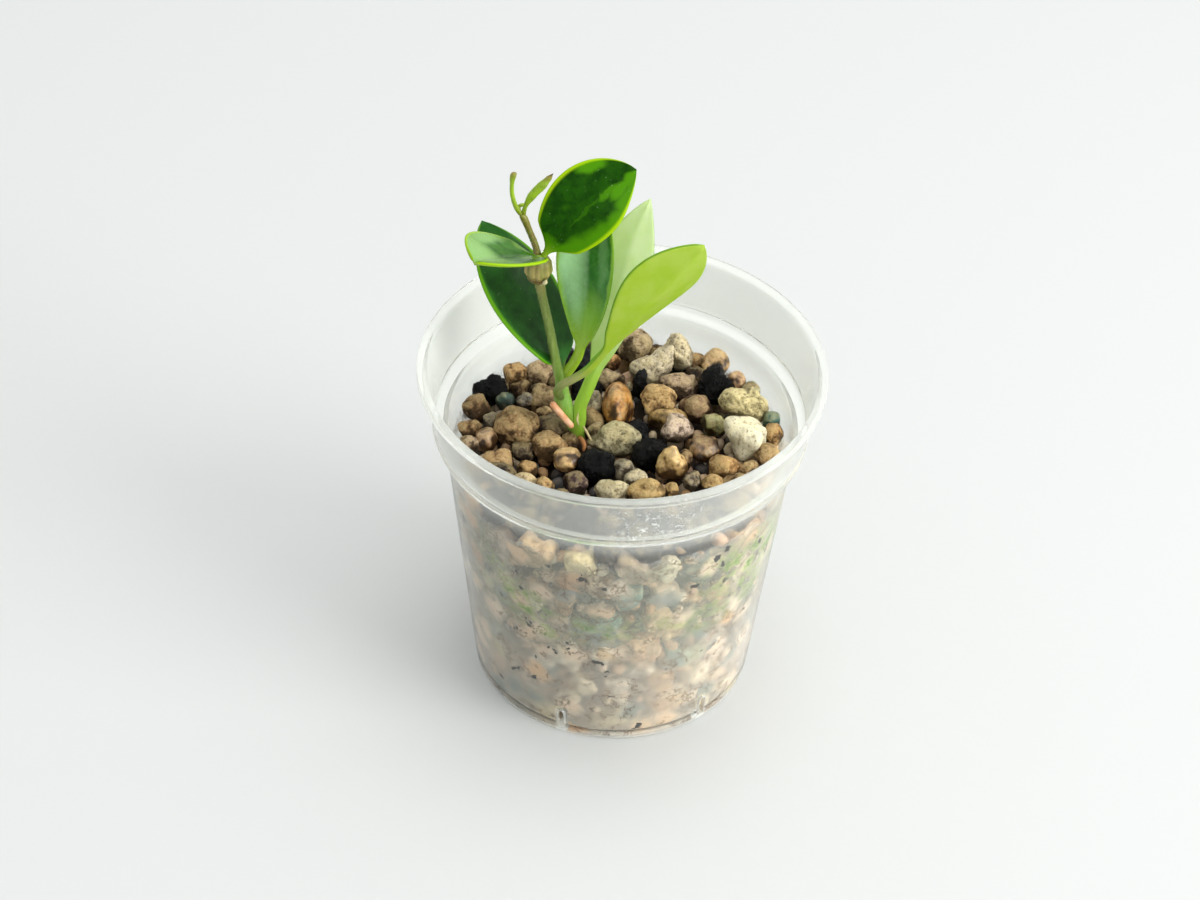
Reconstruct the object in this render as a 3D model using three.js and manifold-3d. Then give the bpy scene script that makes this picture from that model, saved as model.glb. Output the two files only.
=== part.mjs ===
// A young hoya cutting with six leaves, planted in mixed pumice, gravel and charcoal
// in a clear 3-inch nursery pot. Millimetres, +Z up. The origin is the centre of the
// pot's underside. The stem leans to -X, and the leaves open towards -Y.

import * as THREE from 'three';
import { mergeVertices } from 'three/addons/utils/BufferGeometryUtils.js';
import Module from 'manifold-3d';

const wasm = await Module();
wasm.setup();

// Pot
const POT_HEIGHT = 75.6;
const RIM_RADIUS = 40;
const MOUTH_RADIUS = 38;
const LIP_THICKNESS = 0.9;
const WALL = 0.9;
const COLLAR_TOP_RADIUS = 38.9;
const COLLAR_FOOT_RADIUS = 37.1;
const COLLAR_FOOT_Z = 61.9;
const BODY_TOP_RADIUS = 35;
const BASE_RADIUS = 29;
const BASE_THICKNESS = 1.2;
const BASE_EDGE = 1.4;
const POT_FACETS = 56;
const DRAIN_COUNT = 6;
const DRAIN_WIDTH = 1.4;
const DRAIN_FOOT = 1.7;
const DRAIN_TOP = 6.8;
const DRAIN_TURN = -110;
const BASE_HOLE_RADIUS = 2;
const BASE_HOLE_CIRCLE = 16;

// Everything that touches something else keeps this much air
const GAP = 0.3;

// Stone bed
const BED_TOP = 53.5;
const BED_CLEARANCE = 0.4;
const CORE_FACETS = 32;
const CORE_INSET = 3.2;
const WALL_TRIES = 6000;
const WALL_SMALLEST = 2.8;
const WALL_LARGEST = 4.6;
const WALL_FLATTEST = 0.62;
const WALL_FOOT_Z = 3.6;
const WALL_TOP_Z = 52;
const WALL_SEAT = 0.6;
const WALL_SPACING = 0.96;
const STONE_Z = 55.5;
const STONE_ROOT = 1.2;
const STONE_CUTS = 7;
const STONE_CUT_NEAREST = 0.74;
const STONE_CUT_RANGE = 0.2;
const FILL_TRIES = 900;
const FILL_SPACING = 0.82;
const FILL_SINK = 0.6;
const FILL_WALL_GAP = 0.5;
const FILL_SMALLEST = 2.2;
const FILL_LARGEST = 3.8;

// Blades
const BLADE_ROWS = 11;
const BLADE_COLUMNS = 5;
const BLADE_THICKNESS = 0.68;
const MIDRIB_THICKNESS = 1.15;
const TIP_HALF_WIDTH = 0.35;
const PETIOLE_ROWS = 2;
const BLADE_START = 0.16;
const TIP_CROWDING = 1.25;
const STEM_SIDES = 8;
const SHOOT_SIDES = 6;

const COLOURS = {
  pot: 0xe4e9e6,
  bed: 0x8d7455,
  tan: 0xb99a6c,
  brown: 0x8f6f4d,
  orange: 0xb8803f,
  grey: 0xb9ae98,
  pale: 0xd8cfb4,
  cream: 0xdcd09c,
  pink: 0xb39285,
  olive: 0x8f8a63,
  charcoal: 0x1e1f21,
  stem: 0x7d8a45,
  root: 0x8a6038,
  upper: 0x2c6a22,
  sheen: 0x3f8a35,
  under: 0xa9c64d,
};

function seededRandom(seed) {
  let state = seed >>> 0;
  return () => {
    state = (Math.imul(state, 1664525) + 1013904223) >>> 0;
    return state / 4294967296;
  };
}

function toSolid(geometry) {
  const bare = geometry.clone();
  bare.deleteAttribute('normal');
  bare.deleteAttribute('uv');
  const merged = mergeVertices(bare, 1e-4);
  const corners = [];
  for (let i = 0; i < merged.index.count; i += 3) {
    const a = merged.index.getX(i);
    const b = merged.index.getX(i + 1);
    const c = merged.index.getX(i + 2);
    if (a !== b && b !== c && c !== a) corners.push(a, b, c);
  }
  return new wasm.Manifold(new wasm.Mesh({
    numProp: 3,
    vertProperties: new Float32Array(merged.attributes.position.array),
    triVerts: new Uint32Array(corners),
  }));
}

function largestPiece(solid) {
  const pieces = solid.decompose();
  return pieces.reduce((best, piece) => (piece.volume() > best.volume() ? piece : best));
}

function toMesh(name, solid, colour, roughness) {
  const cut = largestPiece(solid).getMesh();
  const geometry = new THREE.BufferGeometry();
  geometry.setAttribute('position', new THREE.BufferAttribute(new Float32Array(cut.vertProperties), 3));
  geometry.setIndex(new THREE.BufferAttribute(new Uint32Array(cut.triVerts), 1));
  const mesh = new THREE.Mesh(geometry, new THREE.MeshStandardMaterial({ color: colour, roughness }));
  mesh.name = name;
  return mesh;
}

// A closed skin over a row of rings with the same number of points, with a fan at each end
function loft(rings) {
  const count = rings[0].length;
  const points = rings.flat();
  const corners = [];
  for (let i = 0; i + 1 < rings.length; i++) {
    for (let k = 0; k < count; k++) {
      const a = i * count + k;
      const b = i * count + (k + 1) % count;
      corners.push(a, b, b + count, a, b + count, a + count);
    }
  }
  const last = (rings.length - 1) * count;
  const centreOf = ring => ring.reduce((sum, p) => sum.add(p), new THREE.Vector3()).divideScalar(count);
  points.push(centreOf(rings[0]), centreOf(rings[rings.length - 1]));
  for (let k = 0; k < count; k++) {
    const next = (k + 1) % count;
    corners.push(points.length - 2, next, k);
    corners.push(points.length - 1, last + k, last + next);
  }
  const geometry = new THREE.BufferGeometry().setFromPoints(points);
  geometry.setIndex(corners);
  return geometry;
}

const vector = ([x, y, z]) => new THREE.Vector3(x, y, z);

// ---------------------------------------------------------------- pot

function innerRadius(z) {
  const rise = (z - BASE_THICKNESS) / (COLLAR_FOOT_Z - BASE_THICKNESS);
  return THREE.MathUtils.lerp(BASE_RADIUS - WALL, BODY_TOP_RADIUS - WALL, rise);
}

function potShell() {
  const lipUnder = POT_HEIGHT - LIP_THICKNESS;
  const profile = [
    [0, 0],
    [BASE_RADIUS - BASE_EDGE, 0],
    [BASE_RADIUS - 0.3, BASE_EDGE * 0.45],
    [BASE_RADIUS + 0.1, BASE_EDGE],
    [BODY_TOP_RADIUS, COLLAR_FOOT_Z],
    [COLLAR_FOOT_RADIUS - 0.3, COLLAR_FOOT_Z],
    [COLLAR_FOOT_RADIUS, COLLAR_FOOT_Z + 0.6],
    [COLLAR_TOP_RADIUS, lipUnder],
    [RIM_RADIUS, lipUnder],
    [RIM_RADIUS, POT_HEIGHT],
    [MOUTH_RADIUS, POT_HEIGHT],
    [COLLAR_FOOT_RADIUS - WALL, COLLAR_FOOT_Z + WALL],
    [BODY_TOP_RADIUS - WALL, COLLAR_FOOT_Z + WALL * 0.8],
    [BASE_RADIUS - WALL, BASE_EDGE + BASE_THICKNESS],
    [BASE_RADIUS - WALL - BASE_EDGE, BASE_THICKNESS],
    [0, BASE_THICKNESS],
  ];
  const points = profile.map(([r, z]) => new THREE.Vector2(r, z));
  return toSolid(new THREE.LatheGeometry(points, POT_FACETS).rotateX(Math.PI / 2));
}

function makePot() {
  let pot = potShell();
  for (let i = 0; i < DRAIN_COUNT; i++) {
    const angle = THREE.MathUtils.degToRad(DRAIN_TURN + i * 360 / DRAIN_COUNT);
    const slot = new THREE.BoxGeometry(4, DRAIN_WIDTH, DRAIN_TOP - DRAIN_FOOT);
    slot.translate(BASE_RADIUS, 0, (DRAIN_FOOT + DRAIN_TOP) / 2).rotateZ(angle);
    const hole = new THREE.CylinderGeometry(BASE_HOLE_RADIUS, BASE_HOLE_RADIUS, 3 * BASE_THICKNESS, 16);
    hole.rotateX(Math.PI / 2).translate(BASE_HOLE_CIRCLE, 0, 0).rotateZ(angle);
    pot = pot.subtract(toSolid(slot)).subtract(toSolid(hole));
  }
  return pot;
}

// The space that the stones fill, just clear of the pot's inner wall
function potRoom() {
  const profile = [
    [0, BASE_THICKNESS + GAP],
    [BASE_RADIUS - WALL - BASE_EDGE - GAP, BASE_THICKNESS + GAP],
    [BASE_RADIUS - WALL - GAP, BASE_EDGE + BASE_THICKNESS + GAP],
    [BODY_TOP_RADIUS - WALL - GAP, COLLAR_FOOT_Z],
    [BODY_TOP_RADIUS - WALL - GAP, POT_HEIGHT],
    [0, POT_HEIGHT],
  ];
  const points = profile.map(([r, z]) => new THREE.Vector2(r, z));
  return toSolid(new THREE.LatheGeometry(points, POT_FACETS).rotateX(Math.PI / 2));
}

// ---------------------------------------------------------------- stones

// A pebble: a ball with a few seeded flats, stretched to its half sizes and leaned over
function pebbleShape(stone, seed, detail, grow = 0, root = 0) {
  const { x, y, z = STONE_Z, a, b, c = 0.45 * (a + b), lean = 0 } = stone;
  const random = seededRandom(seed);
  const flats = [];
  for (let i = 0; i < STONE_CUTS; i++) {
    const rise = 2 * random() - 1;
    const around = 2 * Math.PI * random();
    const level = Math.sqrt(1 - rise * rise);
    flats.push({
      facing: new THREE.Vector3(level * Math.cos(around), level * Math.sin(around), rise),
      reach: STONE_CUT_NEAREST + STONE_CUT_RANGE * random(),
    });
  }
  const geometry = new THREE.IcosahedronGeometry(1, detail);
  const places = geometry.attributes.position;
  const spin = new THREE.Matrix4().makeRotationY(THREE.MathUtils.degToRad(lean));
  const point = new THREE.Vector3();
  for (let i = 0; i < places.count; i++) {
    point.fromBufferAttribute(places, i).normalize();
    let radius = 1;
    for (const flat of flats) {
      const facing = point.dot(flat.facing);
      if (facing > 0) radius = Math.min(radius, flat.reach / facing);
    }
    point.set(point.x * (a * radius + grow), point.y * (b * radius + grow), point.z * (c * radius + grow));
    point.applyMatrix4(spin);
    if (root && point.z < 0) point.z *= Math.max(1, (z - BED_TOP + root) / c);
    places.setXYZ(i, point.x + x, point.y + y, point.z + z);
  }
  return geometry;
}

const pebble = (...shape) => toSolid(pebbleShape(...shape));

// How far out stones may reach at a height, inside the wall and the rounded foot
function roomRadius(z) {
  const corner = Math.max(0, BASE_EDGE + BASE_THICKNESS - z);
  return innerRadius(z + corner) - corner - BED_CLEARANCE;
}

// A plain stone of the bed, pressed flat where it would reach through the wall or floor
function bedStone(stone, seed, root = 0) {
  const geometry = pebbleShape(stone, seed, 0, 0, root);
  const places = geometry.attributes.position;
  for (let i = 0; i < places.count; i++) {
    const z = Math.max(places.getZ(i), BASE_THICKNESS + GAP);
    const inward = Math.min(1, roomRadius(z) / Math.hypot(places.getX(i), places.getY(i)));
    places.setXYZ(i, inward * places.getX(i), inward * places.getY(i), z);
  }
  return toSolid(geometry);
}

// The stones that stand out on top, as they lie: place, half width, half depth, and
// where it matters the centre's height, half height and lean
const LOOSE_STONES = [
  ['charcoal_left', 'charcoal', { x: -26.2, y: 15, a: 3, b: 2.6 }],
  ['tan_broad', 'tan', { x: -20.5, y: 3.2, a: 4.2, b: 4.2, c: 4 }],
  ['orange_left', 'orange', { x: -13.7, y: -1.5, a: 3.4, b: 3 }],
  ['orange_front', 'orange', { x: -10.2, y: -6.6, z: 56.2, a: 3, b: 2.3, lean: -20 }],
  ['charcoal_front', 'charcoal', { x: -4.5, y: -7.8, a: 3.6, b: 3.4 }],
  ['olive_pitted', 'olive', { x: -0.6, y: 0.2, z: 56.2, a: 4.3, b: 3, lean: 12 }],
  ['orange_upright', 'orange', { x: -0.3, y: 12, z: 56.5, a: 2.9, b: 3.6, c: 4.6, lean: -6 }],
  ['grey_back', 'brown', { x: 2.4, y: 28.8, z: 57, a: 3.6, b: 3.6 }],
  ['grey_forked', 'grey', { x: 6.2, y: 22.6, z: 56.5, a: 3.4, b: 3.2, c: 4.2, lean: 35 }],
  ['pale_pitted', 'pale', { x: 11.8, y: 27.4, z: 57, a: 2.8, b: 3, c: 4.2, lean: -14 }],
  ['tan_round', 'tan', { x: 19, y: 25.2, z: 56.5, a: 2.8, b: 2.7 }],
  ['pink_flat', 'pink', { x: 11.8, y: 18.2, a: 3.8, b: 2.4, lean: 15 }],
  ['charcoal_right', 'charcoal', { x: 19.2, y: 17.4, z: 56.2, a: 3.3, b: 3.4, c: 4 }],
  ['tan_centre', 'tan', { x: 7.6, y: 12.4, z: 56.3, a: 3.3, b: 3.1 }],
  ['cream_pitted', 'cream', { x: 25.2, y: 11.6, z: 56.6, a: 4.3, b: 3.2, lean: 24 }],
  ['white_knuckle', 'pale', { x: 25.6, y: 2, z: 56.8, a: 3.7, b: 4, c: 3.6, lean: 30 }],
  ['pink_pale', 'pink', { x: 11.2, y: 4, z: 56.4, a: 3, b: 3.2, lean: 20 }],
  ['brown_round', 'brown', { x: 16.8, y: -0.8, a: 2.8, b: 3.2 }],
  ['charcoal_centre', 'charcoal', { x: 6.1, y: -3.2, a: 2.9, b: 3.6 }],
  ['orange_drop', 'orange', { x: 10.6, y: -7, z: 56.4, a: 2.9, b: 2.8, c: 3.8 }],
];

// The smaller and deeper ones, which stay part of the bed
const BEDDED_STONES = [
  { x: -28.9, y: 9, a: 2.8, b: 2.8 },
  { x: -23.3, y: 12, a: 1.8, b: 1.6 },
  { x: -21.6, y: 20.4, a: 2.4, b: 2.2 },
  { x: -16.5, y: 20.2, a: 3, b: 2.8 },
  { x: -15.8, y: 13.2, a: 2.6, b: 2.6 },
  { x: -15.2, y: 8.2, a: 1.6, b: 1.4 },
  { x: -19.4, y: 12, a: 1.7, b: 1.6 },
  { x: -26.5, y: 0.6, a: 2, b: 2.6, lean: 25 },
  { x: -30, y: 2.7, a: 2.3, b: 1.8 },
  { x: -25.9, y: 5.8, a: 1.8, b: 1.6 },
  { x: -30, y: -1.4, a: 1.8, b: 1.6 },
  { x: -23.6, y: -6.4, a: 2.8, b: 2.2 },
  { x: -18, y: -8.4, a: 1.8, b: 1.5 },
  { x: -18.4, y: -12.4, a: 2.2, b: 1.8 },
  { x: -14.5, y: -13, a: 1.7, b: 1.6 },
  { x: -8.4, y: -12.2, a: 2.6, b: 1.9 },
  { x: -4.8, y: 3.9, a: 1.5, b: 1.8 },
  { x: -4.9, y: 11.6, a: 1.6, b: 3.2 },
  { x: -2.1, y: 19.8, a: 2.6, b: 1.9 },
  { x: -2.2, y: 25.4, a: 1.7, b: 1.7 },
  { x: 4, y: 17.4, z: 56.6, a: 1.4, b: 1.4, c: 3.6 },
  { x: 15.6, y: 26.2, a: 1.6, b: 2 },
  { x: 23.6, y: 20, a: 1.8, b: 2.4, lean: 15 },
  { x: 26.6, y: 17.6, a: 1.8, b: 2 },
  { x: 9.6, y: 8.2, z: 54.8, a: 4, b: 2.2 },
  { x: 15.4, y: 11.4, a: 3.2, b: 2.5 },
  { x: 18.6, y: 6.6, a: 2.8, b: 2.1, lean: 30 },
  { x: 3.4, y: 3.9, a: 2.2, b: 2 },
  { x: 0.6, y: -7.4, a: 2, b: 2 },
  { x: 3.4, y: -10.4, a: 2, b: 1.8 },
  { x: -1.2, y: -14, a: 3.1, b: 2 },
  { x: 5.4, y: -14.2, a: 3.4, b: 2.1 },
  { x: 10.6, y: -13.4, a: 1.5, b: 1.5 },
  { x: 14.4, y: -10.2, a: 1.6, b: 1.9 },
  { x: 20.6, y: -6.3, a: 3, b: 2.6 },
  { x: 18.4, y: -11.4, a: 2.3, b: 1.7 },
  { x: 13.2, y: -3.9, a: 1.3, b: 1.8 },
  { x: 25.6, y: -6.6, a: 2, b: 1.7 },
  { x: 29.3, y: -2.2, a: 2.4, b: 2.2 },
  { x: 30.6, y: 4.2, a: 2, b: 2.6 },
  { x: 30.7, y: 8.8, a: 1.8, b: 1.6 },
];

// Stones by a seeded rule wherever the top still has room, out to the pot's wall
function fillStones(taken) {
  const random = seededRandom(2024);
  const stones = [];
  for (let i = 0; i < FILL_TRIES; i++) {
    const a = THREE.MathUtils.lerp(FILL_SMALLEST, FILL_LARGEST, random());
    const far = (innerRadius(STONE_Z) - a - FILL_WALL_GAP) * Math.sqrt(random());
    const around = 2 * Math.PI * random();
    const stone = { x: far * Math.cos(around), y: far * Math.sin(around), z: STONE_Z - FILL_SINK, a, b: a };
    const clear = other => {
      const apart = Math.hypot(stone.x - other.x, stone.y - other.y);
      return apart > FILL_SPACING * (a + 0.5 * (other.a + other.b));
    };
    if ([...taken, ...stones].every(clear)) stones.push(stone);
  }
  return stones;
}

// Stones that lean on the pot's wall, by a seeded rule, from the floor to the top layer
function wallStones() {
  const random = seededRandom(31);
  const stones = [];
  for (let i = 0; i < WALL_TRIES; i++) {
    const a = THREE.MathUtils.lerp(WALL_SMALLEST, WALL_LARGEST, random());
    const z = THREE.MathUtils.lerp(WALL_FOOT_Z, WALL_TOP_Z, random());
    const around = 2 * Math.PI * random();
    const c = a * THREE.MathUtils.lerp(WALL_FLATTEST, 1, random());
    const lean = 180 * random();
    const far = innerRadius(z) - GAP - WALL_SEAT * a;
    const stone = { x: far * Math.cos(around), y: far * Math.sin(around), z, a, b: a, c, lean };
    const clear = other => {
      const apart = Math.hypot(stone.x - other.x, stone.y - other.y, z - other.z);
      return apart > WALL_SPACING * (a + other.a);
    };
    if (stones.every(clear)) stones.push(stone);
  }
  return stones;
}

// The middle of the bed, which the stones on its top and sides stand out of
function bedCore() {
  const floor = BASE_THICKNESS + GAP;
  const foot = innerRadius(floor) - CORE_INSET;
  const top = innerRadius(BED_TOP) - CORE_INSET;
  const points = [[0, floor], [foot, floor], [top, BED_TOP], [0, BED_TOP]];
  const profile = points.map(([r, z]) => new THREE.Vector2(r, z));
  return toSolid(new THREE.LatheGeometry(profile, CORE_FACETS).rotateX(Math.PI / 2));
}

// ---------------------------------------------------------------- stems

// A stem or root: round sections along a smooth curve through its points
function tube(points, radii, steps, sides = STEM_SIDES, grow = 0) {
  const curve = new THREE.CatmullRomCurve3(points.map(vector));
  const span = vector(points[points.length - 1]).sub(vector(points[0]));
  const side = Math.abs(span.x) > Math.abs(span.z) ? new THREE.Vector3(0, 0, 1) : new THREE.Vector3(1, 0, 0);
  const rings = [];
  for (let i = 0; i <= steps; i++) {
    const t = i / steps;
    const along = curve.getTangent(t);
    const out = side.clone().addScaledVector(along, -side.dot(along)).normalize();
    const across = new THREE.Vector3().crossVectors(along, out);
    const at = Math.min(t * (radii.length - 1), radii.length - 1.000001);
    const radius = THREE.MathUtils.lerp(radii[Math.floor(at)], radii[Math.floor(at) + 1], at % 1) + grow;
    const centre = curve.getPoint(t);
    if (i === 0) centre.addScaledVector(along, -grow);
    if (i === steps) centre.addScaledVector(along, grow);
    const ring = [];
    for (let k = 0; k < sides; k++) {
      const angle = 2 * Math.PI * k / sides;
      const point = centre.clone().addScaledVector(out, radius * Math.cos(angle));
      ring.push(point.addScaledVector(across, radius * Math.sin(angle)));
    }
    rings.push(ring);
  }
  return toSolid(loft(rings));
}

// The long stem, from the crown in the stones to the swollen upper node
const LONG_STEM = [
  [-8.1, 1.9, 50.6], [-8.2, 1.9, 55.5], [-9.4, 1.6, 60], [-10.6, 1.8, 64], [-11.5, 2.2, 67],
  [-12.1, 2.4, 69.9], [-12.9, 2.5, 73.1], [-14.3, 2.6, 81.7], [-15.9, 2.6, 90], [-16.5, 2.6, 93.6],
];
const LONG_STEM_RADII = [0.8, 0.8, 0.8, 0.85, 1, 1.15, 0.95, 0.85, 0.85, 1];
const UPPER_NODE = [
  [-16.5, 2.6, 93], [-16.7, 2.6, 94.8], [-16.7, 2.6, 96.4], [-16.7, 2.6, 98.1], [-16.8, 2.8, 99.8],
];
const UPPER_NODE_RADII = [0.9, 2.2, 2.7, 2.5, 1.2];
const SHOOT = [
  [-16.8, 2.8, 99], [-17.3, 3.2, 101.4], [-18.4, 3.4, 104.5], [-19.5, 3.6, 107.4], [-20.1, 3.6, 108.5],
];
const SHOOT_RADII = [0.75, 0.65, 0.65, 0.65, 0.5];
const YOUNG_LEAF_NARROW = [
  [-20, 3.6, 108.2], [-20.9, 3.4, 109.9], [-21.7, 3.2, 112.8], [-21.8, 3.2, 115.3],
  [-21.5, 3.2, 117.5], [-21, 3.3, 118],
];
const YOUNG_LEAF_NARROW_RADII = [0.5, 0.45, 0.4, 0.4, 0.55, 0.35];
const YOUNG_LEAF_WIDE = [
  [-19.7, 3.6, 107.8], [-19.3, 3.2, 110.4], [-17.9, 2.8, 113.5], [-16.3, 2.6, 115.7],
  [-15.1, 2.5, 117.4], [-14.2, 2.5, 118.7],
];
const YOUNG_LEAF_WIDE_RADII = [0.45, 0.4, 0.75, 0.85, 0.6, 0.3];
const BUD = [[-20.3, 3.7, 108.4], [-20.5, 4.4, 109.6], [-19.3, 4.4, 110.1]];
const CUT_STUB = [[-13.7, 0.2, 65.5], [-11.5, 0.6, 62.4], [-9.2, 1.2, 59.4]];
const STUB_RADIUS = 0.58;

function stemSolid(grow = 0) {
  return tube(LONG_STEM, LONG_STEM_RADII, 13, STEM_SIDES, grow)
    .add(tube(UPPER_NODE, UPPER_NODE_RADII, 6, 10, grow))
    .add(tube(CUT_STUB, [STUB_RADIUS, STUB_RADIUS, STUB_RADIUS], 2, STEM_SIDES, grow));
}

function shootSolid(grow = 0) {
  return tube(SHOOT, SHOOT_RADII, 5, SHOOT_SIDES, grow)
    .add(tube(YOUNG_LEAF_NARROW, YOUNG_LEAF_NARROW_RADII, 6, SHOOT_SIDES, grow))
    .add(tube(YOUNG_LEAF_WIDE, YOUNG_LEAF_WIDE_RADII, 6, SHOOT_SIDES, grow))
    .add(tube(BUD, [0.35, 0.35, 0.35], 3, SHOOT_SIDES, grow));
}

// Roots spread down and out from the crown
const CROWN = [-8, 1.8, 50];
const ROOT_COUNT = 4;
const ROOT_REACH = 13;
const ROOT_DEPTH = 30;

function rootsSolid(grow = 0) {
  const random = seededRandom(77);
  let roots = tube([[-8.1, 1.9, 50.2], [-8, 1.8, 48.4], [-7.9, 1.7, 46.6]], [0.9, 1.3, 0.8], 3, 6, grow);
  for (let i = 0; i < ROOT_COUNT; i++) {
    const around = 2 * Math.PI * (i + 0.5 * random()) / ROOT_COUNT;
    const reach = ROOT_REACH * (0.6 + 0.4 * random());
    const depth = ROOT_DEPTH * (0.6 + 0.4 * random());
    const at = (out, down) => [
      CROWN[0] + out * reach * Math.cos(around + down),
      CROWN[1] + out * reach * Math.sin(around + down),
      CROWN[2] - 2 - down * depth,
    ];
    const path = [at(0, 0), at(0.35, 0.2), at(0.6, 0.5), at(0.85, 0.75), at(1, 1)];
    roots = roots.add(tube(path, [0.6, 0.55, 0.5, 0.4, 0.35], 4, 5, grow));
  }
  return roots;
}

// ---------------------------------------------------------------- leaves

// Each leaf: the petiole's points, the midrib as one Bezier curve, the way its upper
// side faces at base and tip, and the blade's width, fold along the midrib and outline
const LEAVES = {
  leaf_top_right: {
    colour: 'upper',
    petiole: [[-16.2, 2.1, 98.6]],
    petioleRadius: 0.6,
    midrib: [[-15.6, 2.3, 100.1], [-9, 5.2, 108.4], [-7, 9.6, 110], [1.2, 13.1, 112.7]],
    faces: [[0, -0.76, 0.65], [0, -0.74, 0.68]],
    width: 15.2, fold: 12, curl: 0.2, base: 0.6, tip: 0.65,
  },
  leaf_top_left: {
    colour: 'upper',
    petiole: [[-16.6, 1.9, 98.4]],
    petioleRadius: 0.6,
    midrib: [[-16.4, 0.6, 100.5], [-22, -3.7, 103.5], [-24.7, -9, 107], [-27.7, -14.5, 110.5]],
    faces: [[0.2, 0.4, 0.9], [0.37, 0.33, 0.87]],
    width: 16.2, fold: 19, curl: -0.2, base: 0.56, tip: 0.58,
  },
  leaf_back_left: {
    colour: 'upper',
    petiole: [[-12.1, 2.9, 69]],
    petioleRadius: 0.75,
    midrib: [[-12, 4.2, 70.3], [-12.6, 7.4, 76.7], [-24.5, 11, 86.9], [-28.1, 15.3, 97.9]],
    faces: [[0.5, 0, 0.86], [0.55, -0.65, 0.52]],
    width: 18, fold: 7, curl: 0.1, base: 0.72, tip: 0.75,
  },
  leaf_centre: {
    colour: 'sheen',
    petiole: [[-11.9, 2.5, 69.6], [-10.2, 2.8, 71.2], [-8.7, 2.9, 73.2]],
    petioleRadius: 0.75,
    midrib: [[-7.8, 3, 75.1], [-5.1, 4.6, 87.7], [-9.8, 8.7, 98.4], [-5.5, 13.2, 106.2]],
    faces: [[-0.19, -0.84, 0.51], [-0.06, -0.86, 0.51]],
    width: 14.3, fold: 37, curl: -0.1, base: 1, tip: 0.6,
  },
  leaf_right: {
    colour: 'under',
    petiole: [
      [-11.7, 1.4, 66.3], [-12.3, 0.2, 68.3], [-11.7, -0.4, 70.5],
      [-9.8, -0.6, 72.1], [-7.5, -0.6, 74], [-5.2, -0.6, 76.4],
    ],
    petioleRadius: 0.7,
    midrib: [[-3.5, -0.6, 79.1], [5.2, -2.3, 94], [6.3, -2.9, 96.9], [14.1, -2.7, 107.4]],
    faces: [[-0.55, 0.81, 0.22], [-0.21, 0.96, 0.19]],
    width: 16.1, fold: 11, curl: 0.2, base: 0.84, tip: 0.73,
  },
  leaf_back_right: {
    colour: 'under',
    petiole: [[-7.6, 1.9, 57.5], [-7.6, 2, 60.2], [-7.4, 2.3, 63.2]],
    petioleRadius: 0.9,
    midrib: [[-7.2, 2.5, 65.8], [0.1, 8, 84.4], [-2, 11.8, 90.6], [4.2, 16.1, 103.9]],
    faces: [[0.14, 0.99, -0.1], [0.11, 0.99, -0.1]],
    width: 10.8, fold: 18, curl: 0, base: 1.18, tip: 0.85,
  },
};

function bladeHalfWidth(t, { width, base, tip }) {
  const widest = base / (base + tip);
  const shape = t ** base * (1 - t) ** tip;
  return width / 2 * shape / (widest ** base * (1 - widest) ** tip);
}

function roundSection(centre, facing, side, radius) {
  const count = 2 * BLADE_COLUMNS;
  const ring = [];
  for (let k = 0; k < count; k++) {
    const angle = 2 * Math.PI * (k + 0.5) / count - Math.PI / 2;
    const point = centre.clone().addScaledVector(facing, radius * Math.cos(angle));
    ring.push(point.addScaledVector(side, radius * Math.sin(angle)));
  }
  return ring;
}

// A blade's section: the upper side from left to right, then the underside back
function bladeSection(centre, facing, side, half, leaf) {
  const fold = THREE.MathUtils.degToRad(leaf.fold);
  const curl = leaf.curl * half / (leaf.width / 2);
  const ring = [];
  for (const face of [1, -1]) {
    for (let k = 0; k < BLADE_COLUMNS; k++) {
      const s = face * (2 * k / (BLADE_COLUMNS - 1) - 1);
      const thickness = THREE.MathUtils.lerp(MIDRIB_THICKNESS, BLADE_THICKNESS, Math.min(1, 2 * Math.abs(s)));
      const lift = half * Math.abs(s) * Math.sin(fold) + curl * s * s + face * thickness / 2 / Math.cos(fold);
      const point = centre.clone().addScaledVector(side, half * s * Math.cos(fold));
      ring.push(point.addScaledVector(facing, lift));
    }
  }
  return ring;
}

function leafSolid(leaf) {
  const petiole = new THREE.CatmullRomCurve3([...leaf.petiole, leaf.midrib[0]].map(vector));
  const midrib = new THREE.CubicBezierCurve3(...leaf.midrib.map(vector));
  const [faceBase, faceTip] = leaf.faces.map(vector);
  const petioleRows = PETIOLE_ROWS * leaf.petiole.length;
  const rings = [];
  const addRing = (curve, t, blade) => {
    const along = curve.getTangent(t);
    const facing = faceBase.clone().lerp(faceTip, blade ? t : 0);
    facing.addScaledVector(along, -facing.dot(along)).normalize();
    const side = new THREE.Vector3().crossVectors(along, facing);
    const centre = curve.getPoint(t);
    const round = roundSection(centre, facing, side, leaf.petioleRadius);
    if (!blade) {
      rings.push(round);
      return;
    }
    const half = Math.max(bladeHalfWidth(t, leaf), t < 0.5 ? leaf.petioleRadius : TIP_HALF_WIDTH);
    const flat = bladeSection(centre, facing, side, half, leaf);
    const flatness = THREE.MathUtils.smoothstep(t, 0, BLADE_START);
    rings.push(round.map((point, k) => point.lerp(flat[k], flatness)));
  };
  for (let i = 0; i < petioleRows; i++) addRing(petiole, i / petioleRows, false);
  for (let i = 0; i <= BLADE_ROWS; i++) addRing(midrib, 1 - (1 - i / BLADE_ROWS) ** TIP_CROWDING, true);
  return toSolid(loft(rings));
}

// ---------------------------------------------------------------- assembly

const plant = new THREE.Group();
plant.add(toMesh('pot', makePot(), COLOURS.pot, 0.35));

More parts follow.
